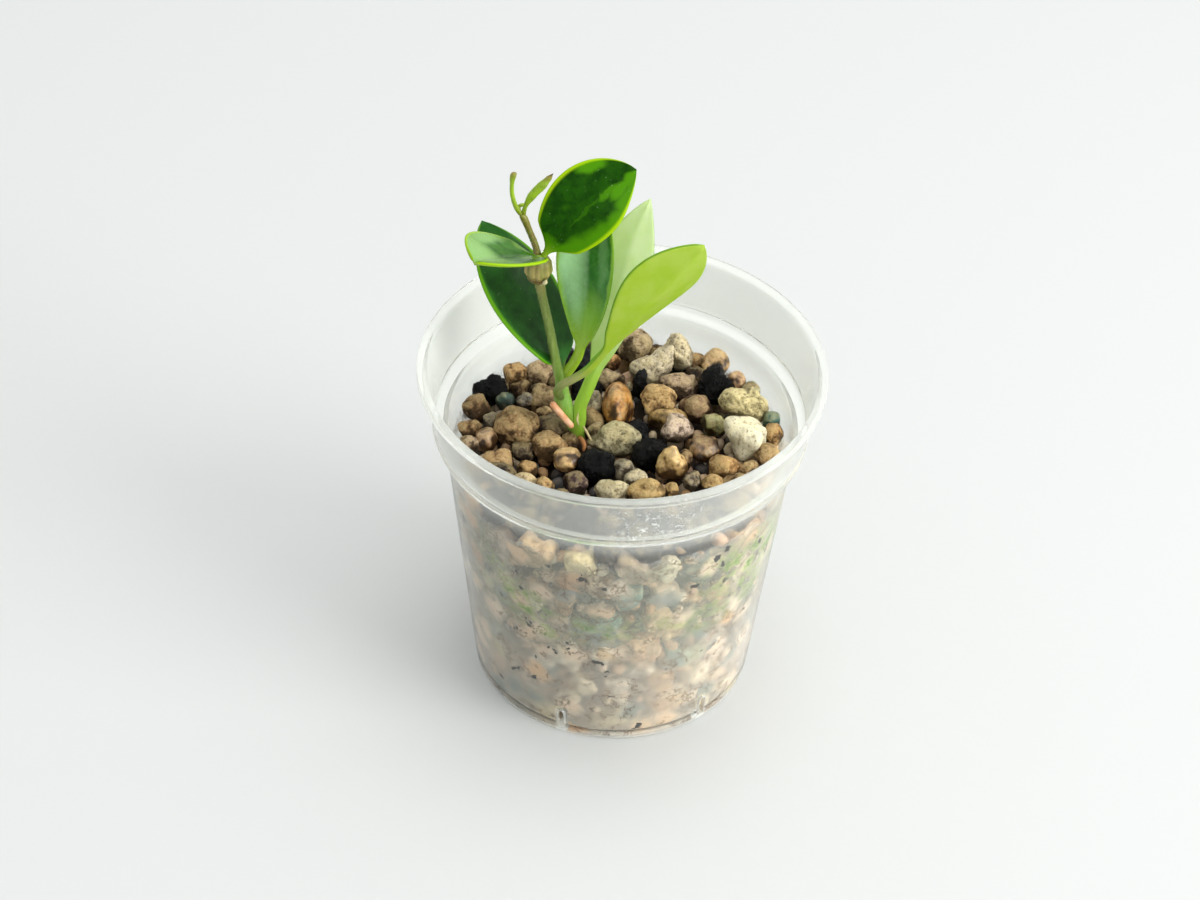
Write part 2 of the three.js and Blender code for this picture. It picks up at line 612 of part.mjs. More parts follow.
const stem = stemSolid();
const stemRoom = stemSolid(GAP);
const shoot = shootSolid();
const roots = rootsSolid();
plant.add(toMesh('stem', stem, COLOURS.stem, 0.5));
plant.add(toMesh('shoot', shoot.subtract(stemRoom), COLOURS.stem, 0.5));
plant.add(toMesh('roots', roots.subtract(stemRoom), COLOURS.root, 0.8));

for (const [name, leaf] of Object.entries(LEAVES)) {
  const blade = leafSolid(leaf).subtract(stemRoom).subtract(shootSolid(GAP));
  plant.add(toMesh(name, blade, COLOURS[leaf.colour], 0.35));
}

const { petiole: lowPetiole, petioleRadius: lowRadius } = LEAVES.leaf_back_right;
const petioleHole = tube(lowPetiole, [lowRadius, lowRadius, lowRadius], 4, STEM_SIDES, 2 * GAP);
const plantRoom = stemRoom.add(rootsSolid(GAP)).add(petioleHole);
const room = potRoom();
let bed = bedCore();
const taken = [...LOOSE_STONES.map(([, , stone]) => stone), ...BEDDED_STONES];
[...BEDDED_STONES, ...fillStones(taken)].forEach((stone, i) => {
  bed = bed.add(bedStone(stone, 500 + i, STONE_ROOT));
});
wallStones().forEach((stone, i) => {
  bed = bed.add(bedStone(stone, 700 + i));
});
let looseRoom = null;
LOOSE_STONES.forEach(([name, colour, stone], i) => {
  let solid = pebble(stone, 100 + i, 1).intersect(room).subtract(plantRoom);
  if (looseRoom) solid = solid.subtract(looseRoom);
  plant.add(toMesh(`stone_${name}`, solid, COLOURS[colour], 0.85));
  const pocket = pebble(stone, 100 + i, 1, GAP);
  looseRoom = looseRoom ? looseRoom.add(pocket) : pocket;
});
bed = bed.subtract(looseRoom).subtract(plantRoom);
plant.add(toMesh('stone_bed', bed, COLOURS.bed, 0.9));

export default plant;
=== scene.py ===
import math
from functools import partialmethod

import bmesh
import bpy
import numpy as np
from mathutils import Matrix, Vector, noise


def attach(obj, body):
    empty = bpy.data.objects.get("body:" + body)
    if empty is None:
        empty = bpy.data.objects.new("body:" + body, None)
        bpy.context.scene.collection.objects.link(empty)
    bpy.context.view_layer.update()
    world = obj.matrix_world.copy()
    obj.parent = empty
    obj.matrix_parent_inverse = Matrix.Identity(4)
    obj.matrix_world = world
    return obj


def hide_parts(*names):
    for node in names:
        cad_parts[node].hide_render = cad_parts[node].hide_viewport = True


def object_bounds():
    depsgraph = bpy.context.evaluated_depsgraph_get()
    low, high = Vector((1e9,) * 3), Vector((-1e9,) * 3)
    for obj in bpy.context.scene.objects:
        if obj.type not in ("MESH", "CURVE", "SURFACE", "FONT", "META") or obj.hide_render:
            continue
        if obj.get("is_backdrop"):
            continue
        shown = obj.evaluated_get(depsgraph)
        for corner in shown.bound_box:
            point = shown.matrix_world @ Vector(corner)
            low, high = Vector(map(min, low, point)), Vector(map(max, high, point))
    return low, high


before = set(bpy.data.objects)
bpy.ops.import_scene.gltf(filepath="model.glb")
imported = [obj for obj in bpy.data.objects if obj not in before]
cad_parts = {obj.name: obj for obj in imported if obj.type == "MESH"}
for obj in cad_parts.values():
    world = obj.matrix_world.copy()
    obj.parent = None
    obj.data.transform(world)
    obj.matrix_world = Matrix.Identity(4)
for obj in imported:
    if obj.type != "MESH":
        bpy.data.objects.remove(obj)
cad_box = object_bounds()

# ------------------------------------------------------------------ pot
# One injection-moulded shell of frosted polypropylene. A tapered collar stands on a step
# above the body, the lip is turned out flat, and upright slots and round holes at the
# foot let water out. The walls are 0.9 mm thick and milky, so stones behind them blur.

MM = 0.001
POT_TURNS = 240
POT_SHARPEST = 35
POT_WALL = 0.9
LIP_RADIUS = 39.95
LIP_FOOT = 74.6
LIP_TOP = 75.6
COLLAR_FOOT = 61.9
LEDGE_MIDDLE = 62.8
STEP_TOP = 62.9
STEP_RADIUS = 35.0
FOOT_RADIUS = 29.0
FLOOR_THICKNESS = 1.2
# Radius, height and corner rounding, from the middle of the underside round to the middle
# of the floor inside
POT_OUTLINE = [
    (0, 0, 0),
    (25.2, 0, 0.3),
    (25.6, 0.5, 0.3),
    (26.6, 0.5, 0.3),
    (27.0, 0, 0.3),
    (FOOT_RADIUS - 0.1, 0.02, 1.2),
    (STEP_RADIUS, COLLAR_FOOT, 0.3),
    (36.9, COLLAR_FOOT, 0.4),
    (37.25, STEP_TOP, 0.3),
    (36.95, 63.6, 0.3),
    (38.75, 74.3, 0.25),
    (LIP_RADIUS, LIP_FOOT, 0.35),
    (LIP_RADIUS, LIP_TOP, 0.42),
    (38.0, LIP_TOP - 0.05, 0.4),
    (36.2, STEP_TOP, 0.8),
    (STEP_RADIUS - POT_WALL, 62.5, 0.7),
    (FOOT_RADIUS - POT_WALL, 2.4, 1.2),
    (26.4, FLOOR_THICKNESS, 1.0),
    (0, FLOOR_THICKNESS, 0),
]
CORNER_STEPS = 5
# Slots with arched tops, the first of them at this angle in degrees, and a round hole in
# the floor inwards of each
DRAIN_COUNT = 6
DRAIN_TURN = -110
DRAIN_WIDTH = 1.4
DRAIN_FOOT = 1.7
DRAIN_TOP = 6.8
DRAIN_CUT = 4
ARCH_STEPS = 9
BASE_HOLE_TURNS = 24
BASE_HOLE_RADIUS = 2
BASE_HOLE_CIRCLE = 16
# Radius just outside the wall's inner face at the foot, and how much that grows with each
# millimetre up
INNER_FACE = 28.15
INNER_FACE_LEAN = 0.098
# Between these heights the dirt on the wall thins out
FILLED_TO = 56
CLEAN_FROM = 60


def rounded(outline):
    """The outline's points, with each corner that has a rounding swapped for an arc."""
    points = []
    for i, (radius, height, turn) in enumerate(outline):
        corner = np.array((radius, height), float)
        if not turn:
            points.append(corner)
            continue
        before = np.array(outline[i - 1][:2]) - corner
        after = np.array(outline[i + 1][:2]) - corner
        reach = min(turn, 0.48 * np.linalg.norm(before), 0.48 * np.linalg.norm(after))
        start = corner + reach * before / np.linalg.norm(before)
        end = corner + reach * after / np.linalg.norm(after)
        for t in np.linspace(0, 1, CORNER_STEPS):
            points.append((1 - t) ** 2 * start + 2 * t * (1 - t) * corner + t * t * end)
    return points


def piece_from(name, points, faces):
    """A new object at the origin from points in millimetres."""
    mesh = bpy.data.meshes.new(name)
    mesh.from_pydata((np.asarray(points, float) * MM).tolist(), [], faces)
    mesh.update()
    piece = bpy.data.objects.new(name, mesh)
    bpy.context.scene.collection.objects.link(piece)
    return piece


def turned(name, outline, turns):
    """A closed form of revolution about Z. Its first and last points lie on the axis."""
    angles = 2 * np.pi * np.arange(turns) / turns
    points = [(0, 0, outline[0][1])]
    for radius, height in outline[1:-1]:
        points += [(radius * math.cos(a), radius * math.sin(a), height) for a in angles]
    points.append((0, 0, outline[-1][1]))
    faces = []
    rings = len(outline) - 2
    for k in range(turns):
        after = (k + 1) % turns
        faces.append((0, 1 + after, 1 + k))
        for i in range(rings - 1):
            low, high = 1 + i * turns, 1 + (i + 1) * turns
            faces.append((low + k, low + after, high + after, high + k))
        top = 1 + (rings - 1) * turns
        faces.append((len(points) - 1, top + k, top + after))
    return piece_from(name, points, faces)


def prism(outline, depth):
    """Points and faces of a straight prism along X from an outline in Y and Z."""
    count = len(outline)
    points = [(x, y, z) for x in (-depth / 2, depth / 2) for y, z in outline]
    faces = [tuple(range(count))[::-1], tuple(range(count, 2 * count))]
    for k in range(count):
        after = (k + 1) % count
        faces.append((k, after, after + count, k + count))
    return np.array(points), faces


def cut_drains(pot):
    """Cuts the slots and the holes out of the pot's foot."""
    half = DRAIN_WIDTH / 2
    turns = np.linspace(0, math.pi, ARCH_STEPS)
    arch = [(half * math.cos(t), DRAIN_TOP - half + half * math.sin(t)) for t in turns]
    slot, slot_faces = prism([(-half, DRAIN_FOOT), (half, DRAIN_FOOT), *arch], DRAIN_CUT)
    slot[:, 0] += FOOT_RADIUS
    turns = 2 * np.pi * np.arange(BASE_HOLE_TURNS) / BASE_HOLE_TURNS
    circle = [(BASE_HOLE_RADIUS * math.cos(t), BASE_HOLE_RADIUS * math.sin(t)) for t in turns]
    hole, hole_faces = prism(circle, DRAIN_CUT)
    hole = hole[:, [2, 1, 0]] * (-1, 1, 1) + (BASE_HOLE_CIRCLE, 0, 0)
    points, faces = [], []
    for i in range(DRAIN_COUNT):
        turn = math.radians(DRAIN_TURN + i * 360 / DRAIN_COUNT)
        spin = np.array(Matrix.Rotation(turn, 3, "Z"))
        for shape, shape_faces in ((slot, slot_faces), (hole, hole_faces)):
            faces += [tuple(len(points) + k for k in face) for face in shape_faces]
            points += (shape @ spin.T).tolist()
    cutter = piece_from("drain_cutter", points, faces)
    cut = pot.modifiers.new("drains", "BOOLEAN")
    cut.operation = "DIFFERENCE"
    cut.solver = "EXACT"
    cut.object = cutter
    settle(pot)
    bpy.data.objects.remove(cutter)


def settle(piece):
    """Turns a piece with modifiers into its plain mesh."""
    bpy.context.view_layer.update()
    made = piece.evaluated_get(bpy.context.evaluated_depsgraph_get())
    mesh = bpy.data.meshes.new_from_object(made)
    piece.modifiers.clear()
    piece.data = mesh


def smooth(piece, angle):
    """Smooth shading that keeps corners sharper than the angle."""
    piece.data.shade_smooth()
    piece.data.set_sharp_from_angle(angle=math.radians(angle))


class Link:
    """A value on its way through a node tree, so that sums over it read as plain Python."""

    def __init__(self, tree, socket):
        self.tree, self.socket = tree, socket

    def maths(self, operation, *others):
        """A Math node over this value and the others."""
        return self.tree.node("ShaderNodeMath", [self, *others], operation=operation)

    def __rsub__(self, other):
        return self.tree.node("ShaderNodeMath", [other, self], operation="SUBTRACT")

    __add__ = __radd__ = partialmethod(maths, "ADD")
    __sub__ = partialmethod(maths, "SUBTRACT")
    __mul__ = __rmul__ = partialmethod(maths, "MULTIPLY")
    __truediv__ = partialmethod(maths, "DIVIDE")
    __pow__ = partialmethod(maths, "POWER")
    least = partialmethod(maths, "MINIMUM")
    most = partialmethod(maths, "MAXIMUM")
    size = partialmethod(maths, "ABSOLUTE")
    wave = partialmethod(maths, "SINE")

    def step(self, low, high):
        """0 below low, 1 above high and a smooth rise between."""
        values = {"Value": self, "From Min": low, "From Max": high}
        return self.tree.node("ShaderNodeMapRange", values, interpolation_type="SMOOTHSTEP")


def paint(text):
    """A colour for a node, from the six-figure form that paint charts use."""
    parts = [int(text[i : i + 2], 16) / 255 for i in (0, 2, 4)]
    return (*[p / 12.92 if p < 0.04045 else ((p + 0.055) / 1.055) ** 2.4 for p in parts], 1.0)


class Tree:
    """A node tree that is written down node by node."""

    def __init__(self, tree):
        self.tree = tree

    def node(self, kind, values=(), output=0, stops=(), spread="LINEAR", **settings):
        """Adds a node: first its settings or a ramp's stops, then the values or links of its
        sockets, by name or in order. A colour may be given in six figures."""
        made = self.tree.nodes.new(kind)
        for name, value in settings.items():
            setattr(made, name, value)
        if stops:
            made.color_ramp.interpolation = spread
            ramp = made.color_ramp.elements
            while len(ramp) < len(stops):
                ramp.new(0.5)
            for stop, (place, colour) in zip(ramp, stops):
                stop.position = place
                stop.color = paint(colour)
        for name, value in values.items() if isinstance(values, dict) else enumerate(values):
            socket = made.inputs[name]
            if isinstance(value, Link):
                self.tree.links.new(value.socket, socket)
            else:
                coloured = socket.type == "RGBA" and isinstance(value, str)
                socket.default_value = paint(value) if coloured else value
        return Link(self, made.outputs[output]) if made.outputs else made

    def parts(self, vector):
        """The X, Y and Z of a vector."""
        made = self.node("ShaderNodeSeparateXYZ", [vector]).socket.node
        return [Link(self, output) for output in made.outputs]


class Finish(Tree):
    """A material, with the few patterns that the pot, the stones and the plant share."""

    def __init__(self, name):
        self.material = bpy.data.materials.new(name)
        self.material.use_nodes = True
        super().__init__(self.material.node_tree)
        self.tree.nodes.clear()
        whole = self.node("ShaderNodeTexCoord", output="Object")
        scaled = {"Vector": whole, "Scale": 1 / MM}
        self.place = self.node("ShaderNodeVectorMath", scaled, operation="SCALE")

    def cloud(self, scale, detail=3.0, roughness=0.55, offset=(0, 0, 0), stretch=(1, 1, 1)):
        """Soft noise from 0 to 1, its scale in repeats per millimetre."""
        place = self.node("ShaderNodeMapping", {"Vector": self.place, "Location": offset, "Scale": stretch})
        values = {"Vector": place, "Scale": scale, "Detail": detail, "Roughness": roughness}
        return self.node("ShaderNodeTexNoise", values)

    def cells(self, scale, output="Distance", offset=(0, 0, 0), bend=0.0):
        """Distance to, or colour of, the nearest of scattered points, bent by so many millimetres."""
        place = self.node("ShaderNodeMapping", {"Vector": self.place, "Location": offset})
        if bend:
            waves = self.node("ShaderNodeTexNoise", {"Vector": place, "Scale": scale * 2}, "Color")
            place = self.node("ShaderNodeVectorMath", [waves, (bend,) * 3, place], operation="MULTIPLY_ADD")
        return self.node("ShaderNodeTexVoronoi", {"Vector": place, "Scale": scale}, output)

    def mix(self, share, first, second, way="MIX"):
        """A colour between first and second."""
        values = {0: share, 6: first, 7: second}
        return self.node("ShaderNodeMix", values, 2, data_type="RGBA", blend_type=way)

    def ramp(self, value, stops, spread="LINEAR"):
        """The colour at a value, from places and their colours."""
        return self.node("ShaderNodeValToRGB", [value], stops=stops, spread=spread)

    def carry(self, name, output="Fac"):
        """An attribute that the mesh carries."""
        return self.node("ShaderNodeAttribute", output=output, attribute_name=name)

    def relief(self, height, depth):
        """A bumped normal from a height, its depth in millimetres."""
        return self.node("ShaderNodeBump", {"Strength": 1.0, "Distance": depth * MM, "Height": height})

    def surface(self, values):
        """What the light meets, from the values of its sockets."""
        return self.node("ShaderNodeBsdfPrincipled", values, "BSDF")

    def show(self, shader):
        """Ends the material with what it shows."""
        self.node("ShaderNodeOutputMaterial", {"Surface": shader})
        return self.material

    def solid(self, colour, roughness, height, depth, shine=0.5):
        """A material that light doesn't pass, from its colour, roughness, relief and shine."""
        return self.show(self.surface({
            "Base Color": colour,
            "Roughness": roughness,
            "Specular IOR Level": shine,
            "Normal": self.relief(height, depth),
        }))


def frosted_plastic():
    """Milky see-through plastic. Silt, algae and black bits lie on its inside, lime on its collar."""
    finish = Finish("frosted polypropylene")
    x, y, z = finish.parts(finish.place)
    radius = (x * x + y * y) ** 0.5
    inside = (radius - (z * INNER_FACE_LEAN + INNER_FACE)).step(0.5, 0.2)
    buried = (z + finish.cloud(0.2) * 8).step(CLEAN_FROM, FILLED_TO) * inside
    touched = finish.cells(0.15, bend=4.5).step(0.66, 0.16)
    own = finish.ramp(finish.cells(0.15, "Color", bend=4.5), [
        (0.0, "f0d6b9"), (0.36, "f3e4cf"), (0.42, "e6c096"), (0.47, "dccba8"), (0.52, "b9bba3"),
        (0.56, "f0dcc6"), (0.62, "d3b08d"), (0.68, "98a09a"),
    ])
    silt = finish.mix(touched, finish.mix(z.step(38, 16), "bcbeac", "e6dccc"), own)
    lines = (finish.cloud(0.3, 5, 0.65, (4, 1, 8)) - 0.5).size().step(0.03, 0.014)
    lines = lines * finish.cloud(0.16, 2, 0.5, (2, 9, 5)).step(0.44, 0.54)
    bits = finish.cells(0.2, bend=5, offset=(9, 2, 4)).step(0.19, 0.15)
    bits = bits * finish.cloud(0.13, 2).step(0.44, 0.51)
    growth = finish.cloud(0.22, 6, 0.7, stretch=(1, 1, 1.5))
    around = x / radius
    right_band = around.step(0.4, 0.7) * (z - 42).size().step(15, 4)
    left_band = (around + 0.55).size().step(0.34, 0.12) * (z + around * 28 - 22).size().step(8, 2)
    front_band = (y / radius * -1).step(0.4, 0.9) * (z - 34).size().step(7, 1) * 0.6
    algae = right_band.most(left_band).most(front_band) * growth.step(0.42, 0.6)
    lined = finish.mix(lines * 0.85, silt, "5a432c")
    green = finish.mix(algae, lined, finish.mix(growth.step(0.5, 0.64), "a8b476", "64892e"))
    film = finish.mix(bits, green, "1d1a17")
    turn = y.maths("ARCTAN2", x) * DRAIN_COUNT - math.radians(DRAIN_TURN * DRAIN_COUNT - 90)
    slots = turn.wave().step(0.96, 0.985) * z.step(DRAIN_TOP + 0.8, DRAIN_TOP)
    wall = 1 - slots
    clear = finish.surface({
        "Base Color": "f7f8f4",
        "Roughness": finish.cloud(0.3).step(0.2, 0.8) * 0.05 + 0.13,
        "IOR": 1.18,
        "Transmission Weight": 1.0,
        "Normal": finish.relief(finish.cloud(0.5, 2), 0.01),
    })
    milky = finish.mix(buried * wall, "e8eae6", film)
    milk = finish.surface({"Base Color": milky, "Roughness": 0.4})
    marks = (x - 7).size().step(11, 4) * y.step(0, -5) * (z - 68).size().step(7, 3)
    lime = finish.cloud(0.8, 6, 0.8, (7, 3, 0)).step(0.55, 0.63) * marks
    scuffs = finish.cloud(1.1, 4, 0.7, stretch=(1, 1, 0.35)).step(0.62, 0.78)
    sparks = finish.cloud(5, 2).step(0.66, 0.72) * z.step(58, 50)
    covered = touched * 0.4 + lines * 0.55 + bits * 0.9 + algae * 0.45 + z.step(40, 10) * 0.1 + 0.27
    ledges = z.step(LIP_FOOT - 0.6, LIP_FOOT) * 0.07 + (z - LEDGE_MIDDLE).size().step(1.6, 0.9) * 0.13
    veil = z.step(FILLED_TO, CLEAN_FROM) * 0.18 - ledges + slots * 0.25 + z.step(2, 0.6) * 0.5
    veil = veil + scuffs * 0.06 + sparks * 0.25 + lime * 0.6 + 0.07
    body = finish.node("ShaderNodeMixShader", [veil.most(buried * covered * wall), clear, milk])
    let_through = finish.node("ShaderNodeBsdfTransparent", [(0.88, 0.885, 0.87, 1)])
    lamp_ray = finish.node("ShaderNodeLightPath", output="Is Shadow Ray")
    return finish.show(finish.node("ShaderNodeMixShader", [lamp_ray, body, let_through]))


def in_pieces(piece, material, slot, *nodes):
    """Gives a finished piece its material and its body, and hides the solids it stands for; the slot is not
    used.
    """
    piece.data.materials.clear()
    piece.data.materials.append(material)
    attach(piece, "root")
    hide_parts(*nodes)


pot = turned("nursery_pot", rounded(POT_OUTLINE), POT_TURNS)
cut_drains(pot)
smooth(pot, POT_SHARPEST)
in_pieces(pot, frosted_plastic(), "pot_plastic", "pot")

# ------------------------------------------------------------------ buried stones
# Loose gritty mix of pumice, gravel and charcoal, poured in up to the collar. The larger
# stones lean on the wall and lie flat against it, grit fills the gaps between them, and
# further in it is dark.

FLOOR_GAP = 0.3
WALL_GAP = 0.4
FOOT_CORNER = 2.6
BED_TOP = 53.5
# Grit lies on a form that keeps so far from the wall, and further at its foot
GRIT_TOP = 52.5
GRIT_FOOT = 3.4
GRIT_CORNER = 6
GRIT_DEPTH = 2.9
GRIT_FOOT_DEPTH = 4
GRIT_SEED = 3
GRAINS_PER_SQUARE_METRE = 4e5
LUMPS_PER_METRE = 520.0
# Radius, height and corner rounding of the dark middle
HEART_OUTLINE = [(0, 4, 0), (22.5, 4, 3), (28, 49, 4), (0, 49, 0)]
HEART_SHARPEST = 40
# Stones along the wall: seeds of their places and of their shapes, tries to place one, half
# sizes and their spread, heights and theirs, the flattest, how near two may come, and how
# much of a stone's half size its middle stands off the wall
WALL_SEED = 31
WALL_STONE_SEEDS = 700
WALL_TRIES = 6000
WALL_SMALLEST = 2.8
WALL_SIZES = 1.8
WALL_LOWEST = 3.6
WALL_HEIGHTS = 48.4
WALL_FLATTEST = 0.62
WALL_SPACING = 0.96
WALL_SEAT = 0.6
# A stone's flats: distance from its middle and the spread of it, how many cut deepest and
# how much further out the others lie
FLAT_NEAREST = 0.67
FLAT_SPREAD = 0.24
DEEP_FLATS = 7
LATER_FLATS_OUT = 0.1
# Smaller stones than this half size are less rough
ROUGH_FROM = 2.6
PIT_RADIUS = 0.34
# A full turn in radians, to three places
WHOLE_TURN = 6.283

# Flats, sharpness of the corners, depth of lumps, of grain and of pits in millimetres,
# and pits per millimetre
WEAR = {
    "gravel": (9, 30, 0.36, 0.15, 0.1, 0.6),
    "smooth": (7, 9, 0.36, 0.0, 0.0, 0.5),
    "pumice": (8, 20, 0.5, 0.18, 0.5, 0.75),
    "bone": (7, 6, 0.2, 0.05, 0.0, 0.5),
    "charcoal": (9, 60, 0.7, 0.5, 0.5, 0.6),
    "chert": (12, 26, 0.25, 0.03, 0.0, 0.5),
}
# Kinds and colours of the stones that show through the wall
WALL_COLOURS = [
    ("gravel", "e0bf98"), ("pumice", "e9dcc0"), ("gravel", "c39a6c"), ("gravel", "d9b08a"),
    ("charcoal", "3c4447"), ("pumice", "efe6d6"), ("gravel", "d8a873"), ("gravel", "b9a48f"),
    ("gravel", "e6cdb4"), ("pumice", "d5c79e"), ("charcoal", "4c5558"), ("gravel", "cbb2a2"),
    ("pumice", "e5d2a6"), ("chert", "6d8f86"), ("gravel", "c7a57f"),
]


def wall_inside(height):
    """The inner radius of the pot's body at a height."""
    rise = (height - FLOOR_THICKNESS) / (COLLAR_FOOT - FLOOR_THICKNESS)
    return FOOT_RADIUS - POT_WALL + rise * (STEP_RADIUS - FOOT_RADIUS)


def draws(seed):
    """An endless run of numbers from 0 to 1, the same for the same seed."""
    state = seed
    while True:
        state = (state * 1664525 + 1013904223) % 2**32
        yield state / 2**32


def unit(rows):
    """Directions of length 1."""
    return rows / np.linalg.norm(rows, axis=-1, keepdims=True)


def ball(level):
    """Points and triangles of a ball with a radius of 1."""
    mesh = bmesh.new()
    bmesh.ops.create_icosphere(mesh, subdivisions=level, radius=1)
    points = np.array([point.co[:] for point in mesh.verts])
    faces = [tuple(point.index for point in face.verts) for face in mesh.faces]
    mesh.free()
    return unit(points), faces


def worn(points, seed, kind, place, half, lean, bulges=()):
    """A ball's points made a stone: seeded flats, stretched, leaned over, then worn."""
    flats, corner, lump, grain, pit, pits = WEAR[kind]
    draw = draws(seed)
    reached = np.ones(len(points))
    for i in range(flats):
        rise = 2 * next(draw) - 1
        around = 2 * math.pi * next(draw)
        reach = FLAT_NEAREST + FLAT_SPREAD * next(draw) + (LATER_FLATS_OUT if i >= DEEP_FLATS else 0)
        level = math.sqrt(1 - rise * rise)
        facing = points @ (level * math.cos(around), level * math.sin(around), rise)
        reached += (np.maximum(facing, 0) / reach) ** corner
    spin = np.array(Matrix.Rotation(math.radians(lean), 3, "Y"))
    stone = (points * reached[:, None] ** (-1 / corner) * half) @ spin.T
    out = unit(stone)
    swell = np.ones(len(points))
    for direction, height, width in bulges:
        swell += height * np.exp((out @ np.array(direction) / np.linalg.norm(direction) - 1) / width)
    stone *= swell[:, None]
    small = min(1, min(half) / ROUGH_FROM)
    # Painted shade, partly damp: each point's value is highest on the stone's underside and in its hollows
    # and pits, and lowest on its tops
    shade = 0.5 - 0.9 * out[:, 2]
    for i in range(len(stone)):
        at = Vector(stone[i] / small) + Vector((seed * 7.3, 0, 0))
        broad = noise.noise(at * 0.42) + 0.45 * noise.noise(at * 1.1)
        height = lump * broad + grain * noise.noise(at * 2.7)
        hollow = max(0, 1 - noise.voronoi(at * pits)[0][0] / PIT_RADIUS) if pit else 0
        stone[i] += out[i] * (height - pit * hollow) * small
        shade[i] += 3.2 * pit * hollow - 1.2 * height / lump + 0.4
    return stone + place, shade.clip(0, 1)


def kept_inside(points):
    """Points pressed flat where they would reach through the wall or the floor."""
    points[:, 2] = np.maximum(points[:, 2], FLOOR_THICKNESS + FLOOR_GAP)
    corner = np.maximum(0, FOOT_CORNER - points[:, 2])
    room = wall_inside(points[:, 2] + corner) - corner - WALL_GAP
    points[:, :2] *= np.minimum(1, room / np.hypot(points[:, 0], points[:, 1]))[:, None]
    return points


def mark(piece, name, values):
    """Stores numbers or colours for a piece's points, for its material to read."""
    kind, field = ("FLOAT_COLOR", "color") if np.ndim(values) == 2 else ("FLOAT", "value")
    piece.data.attributes.new(name, kind, "POINT").data.foreach_set(field, np.ravel(values))


def heap(name, stones, level, inside=True, root=None):
    """One piece from stones, each a colour and then what worn() takes. They are kept inside
    the pot, and their lower halves reach down into the bed if a root is given."""
    shape, shape_faces = ball(level)
    points, faces, colours, shade_and_damp = [], [], [], []
    for colour, seed, kind, place, half, *rest in stones:
        faces += [tuple(len(points) * len(shape) + k for k in face) for face in shape_faces]
        stone, low = worn(shape, seed, kind, place, half, *rest)
        if root is not None:
            sunk = stone[:, 2] < place[2]
            reach = max(1, (place[2] - BED_TOP + root) / half[2])
            stone[sunk, 2] = place[2] + (stone[sunk, 2] - place[2]) * reach
        points.append(kept_inside(stone) if inside else stone)
        shade_and_damp.append(low)
        colours += [paint(colour)] * len(shape)
    piece = piece_from(name, np.vstack(points), faces)
    mark(piece, "stone_colour", np.array(colours))
    # These values darken each stone's underside and hollows as painted shade, partly damp
    mark(piece, "shade_and_damp", np.concatenate(shade_and_damp))
    piece.data.shade_smooth()
    return piece


# Stain and its share; colour, share, number per millimetre and size of the specks, which on charcoal are
# painted glints;
# roughness and shine; grain per millimetre and its depth in millimetres
STONE_LOOKS = {
    "gravel": ("5e4a2c", 0.65, "33281c", 0.4, 0.8, 0.11, 0.76, 0.25, 1.9, 0.2),
    "smooth": ("6e4c24", 0.75, "35281a", 0.6, 0.42, 0.1, 0.34, 0.5, 1.4, 0.04),
    "pumice": ("8c8058", 0.4, "30281a", 0.85, 0.8, 0.15, 0.88, 0.15, 1.9, 0.25),
    "bone": ("b8a878", 0.25, "54462e", 0.4, 0.35, 0.07, 0.55, 0.3, 1.4, 0.05),
    # The charcoal's grey specks are painted glints
    "charcoal": ("020202", 0.6, "23282c", 0.6, 1.7, 0.2, 0.2, 0.2, 1.5, 0.8),
    "chert": ("142b25", 0.5, "4d7c68", 0.8, 0.6, 0.1, 0.5, 0.5, 0.8, 0.06),
}


def stone_finish(kind, share=1.0):
    """Stained, specked stone over each stone's own colour, with painted highlights, painted glints for the
    charcoal's specks, dust and painted light on the tops, and painted shade and damp below. A smaller share
    is cleaner.
    """
    stain, stained, speck_and_glint, specked, specks, speck_size, roughness, shine, grain, depth = STONE_LOOKS[kind]
    finish = Finish(kind + (" stone" if share == 1 else " behind the wall"))
    top_dust_and_light, glare = (0, 0) if kind == "charcoal" else (0.2, 0.22)
    own = finish.carry("stone_colour", "Color")
    clouds = finish.cloud(0.34, 5, 0.65, (3, 8, 1)).step(0.46, 0.64)
    stained_stone = finish.mix(clouds * (stained * share), own, stain)
    fine = finish.cloud(grain, 5, 0.72)
    # Painted highlights: pale flecks screened over the stone
    light = finish.mix(fine.step(0.52, 0.7) * glare, stained_stone, "f3e2b8", "SCREEN")
    dark = finish.mix(fine.step(0.5, 0.34) * (0.75 * share), light, "6e5c44", "MULTIPLY")
    # Pits on most stones, painted glints on charcoal
    pits_and_glints = finish.cells(specks).step(speck_size, speck_size * 0.5) * finish.cloud(0.35, 2).step(0.4, 0.55)
    pitted_and_glinting = finish.mix(pits_and_glints * specked, dark, speck_and_glint)
    shade_and_damp = finish.carry("shade_and_damp") + finish.cloud(0.5, 3) * 0.5 - 0.25
    # Paler on the tops: dust, and painted light where the light falls on them
    dusty_and_lit = finish.mix(shade_and_damp.step(0.45, 0) * top_dust_and_light, pitted_and_glinting, "d8c48c")
    # Painted shade, partly damp: darker on each stone's underside and in its hollows and pits
    shaded_and_soaked = finish.mix(shade_and_damp.step(0.35, 1.0) * (stained * 1.35 * share), dusty_and_lit, "5e5038", "MULTIPLY")
    height = fine - pits_and_glints * 0.8 + finish.cells(grain * 0.8) * 0.3
    return finish.solid(shaded_and_soaked, clouds * 0.1 + roughness, height, depth, shine)


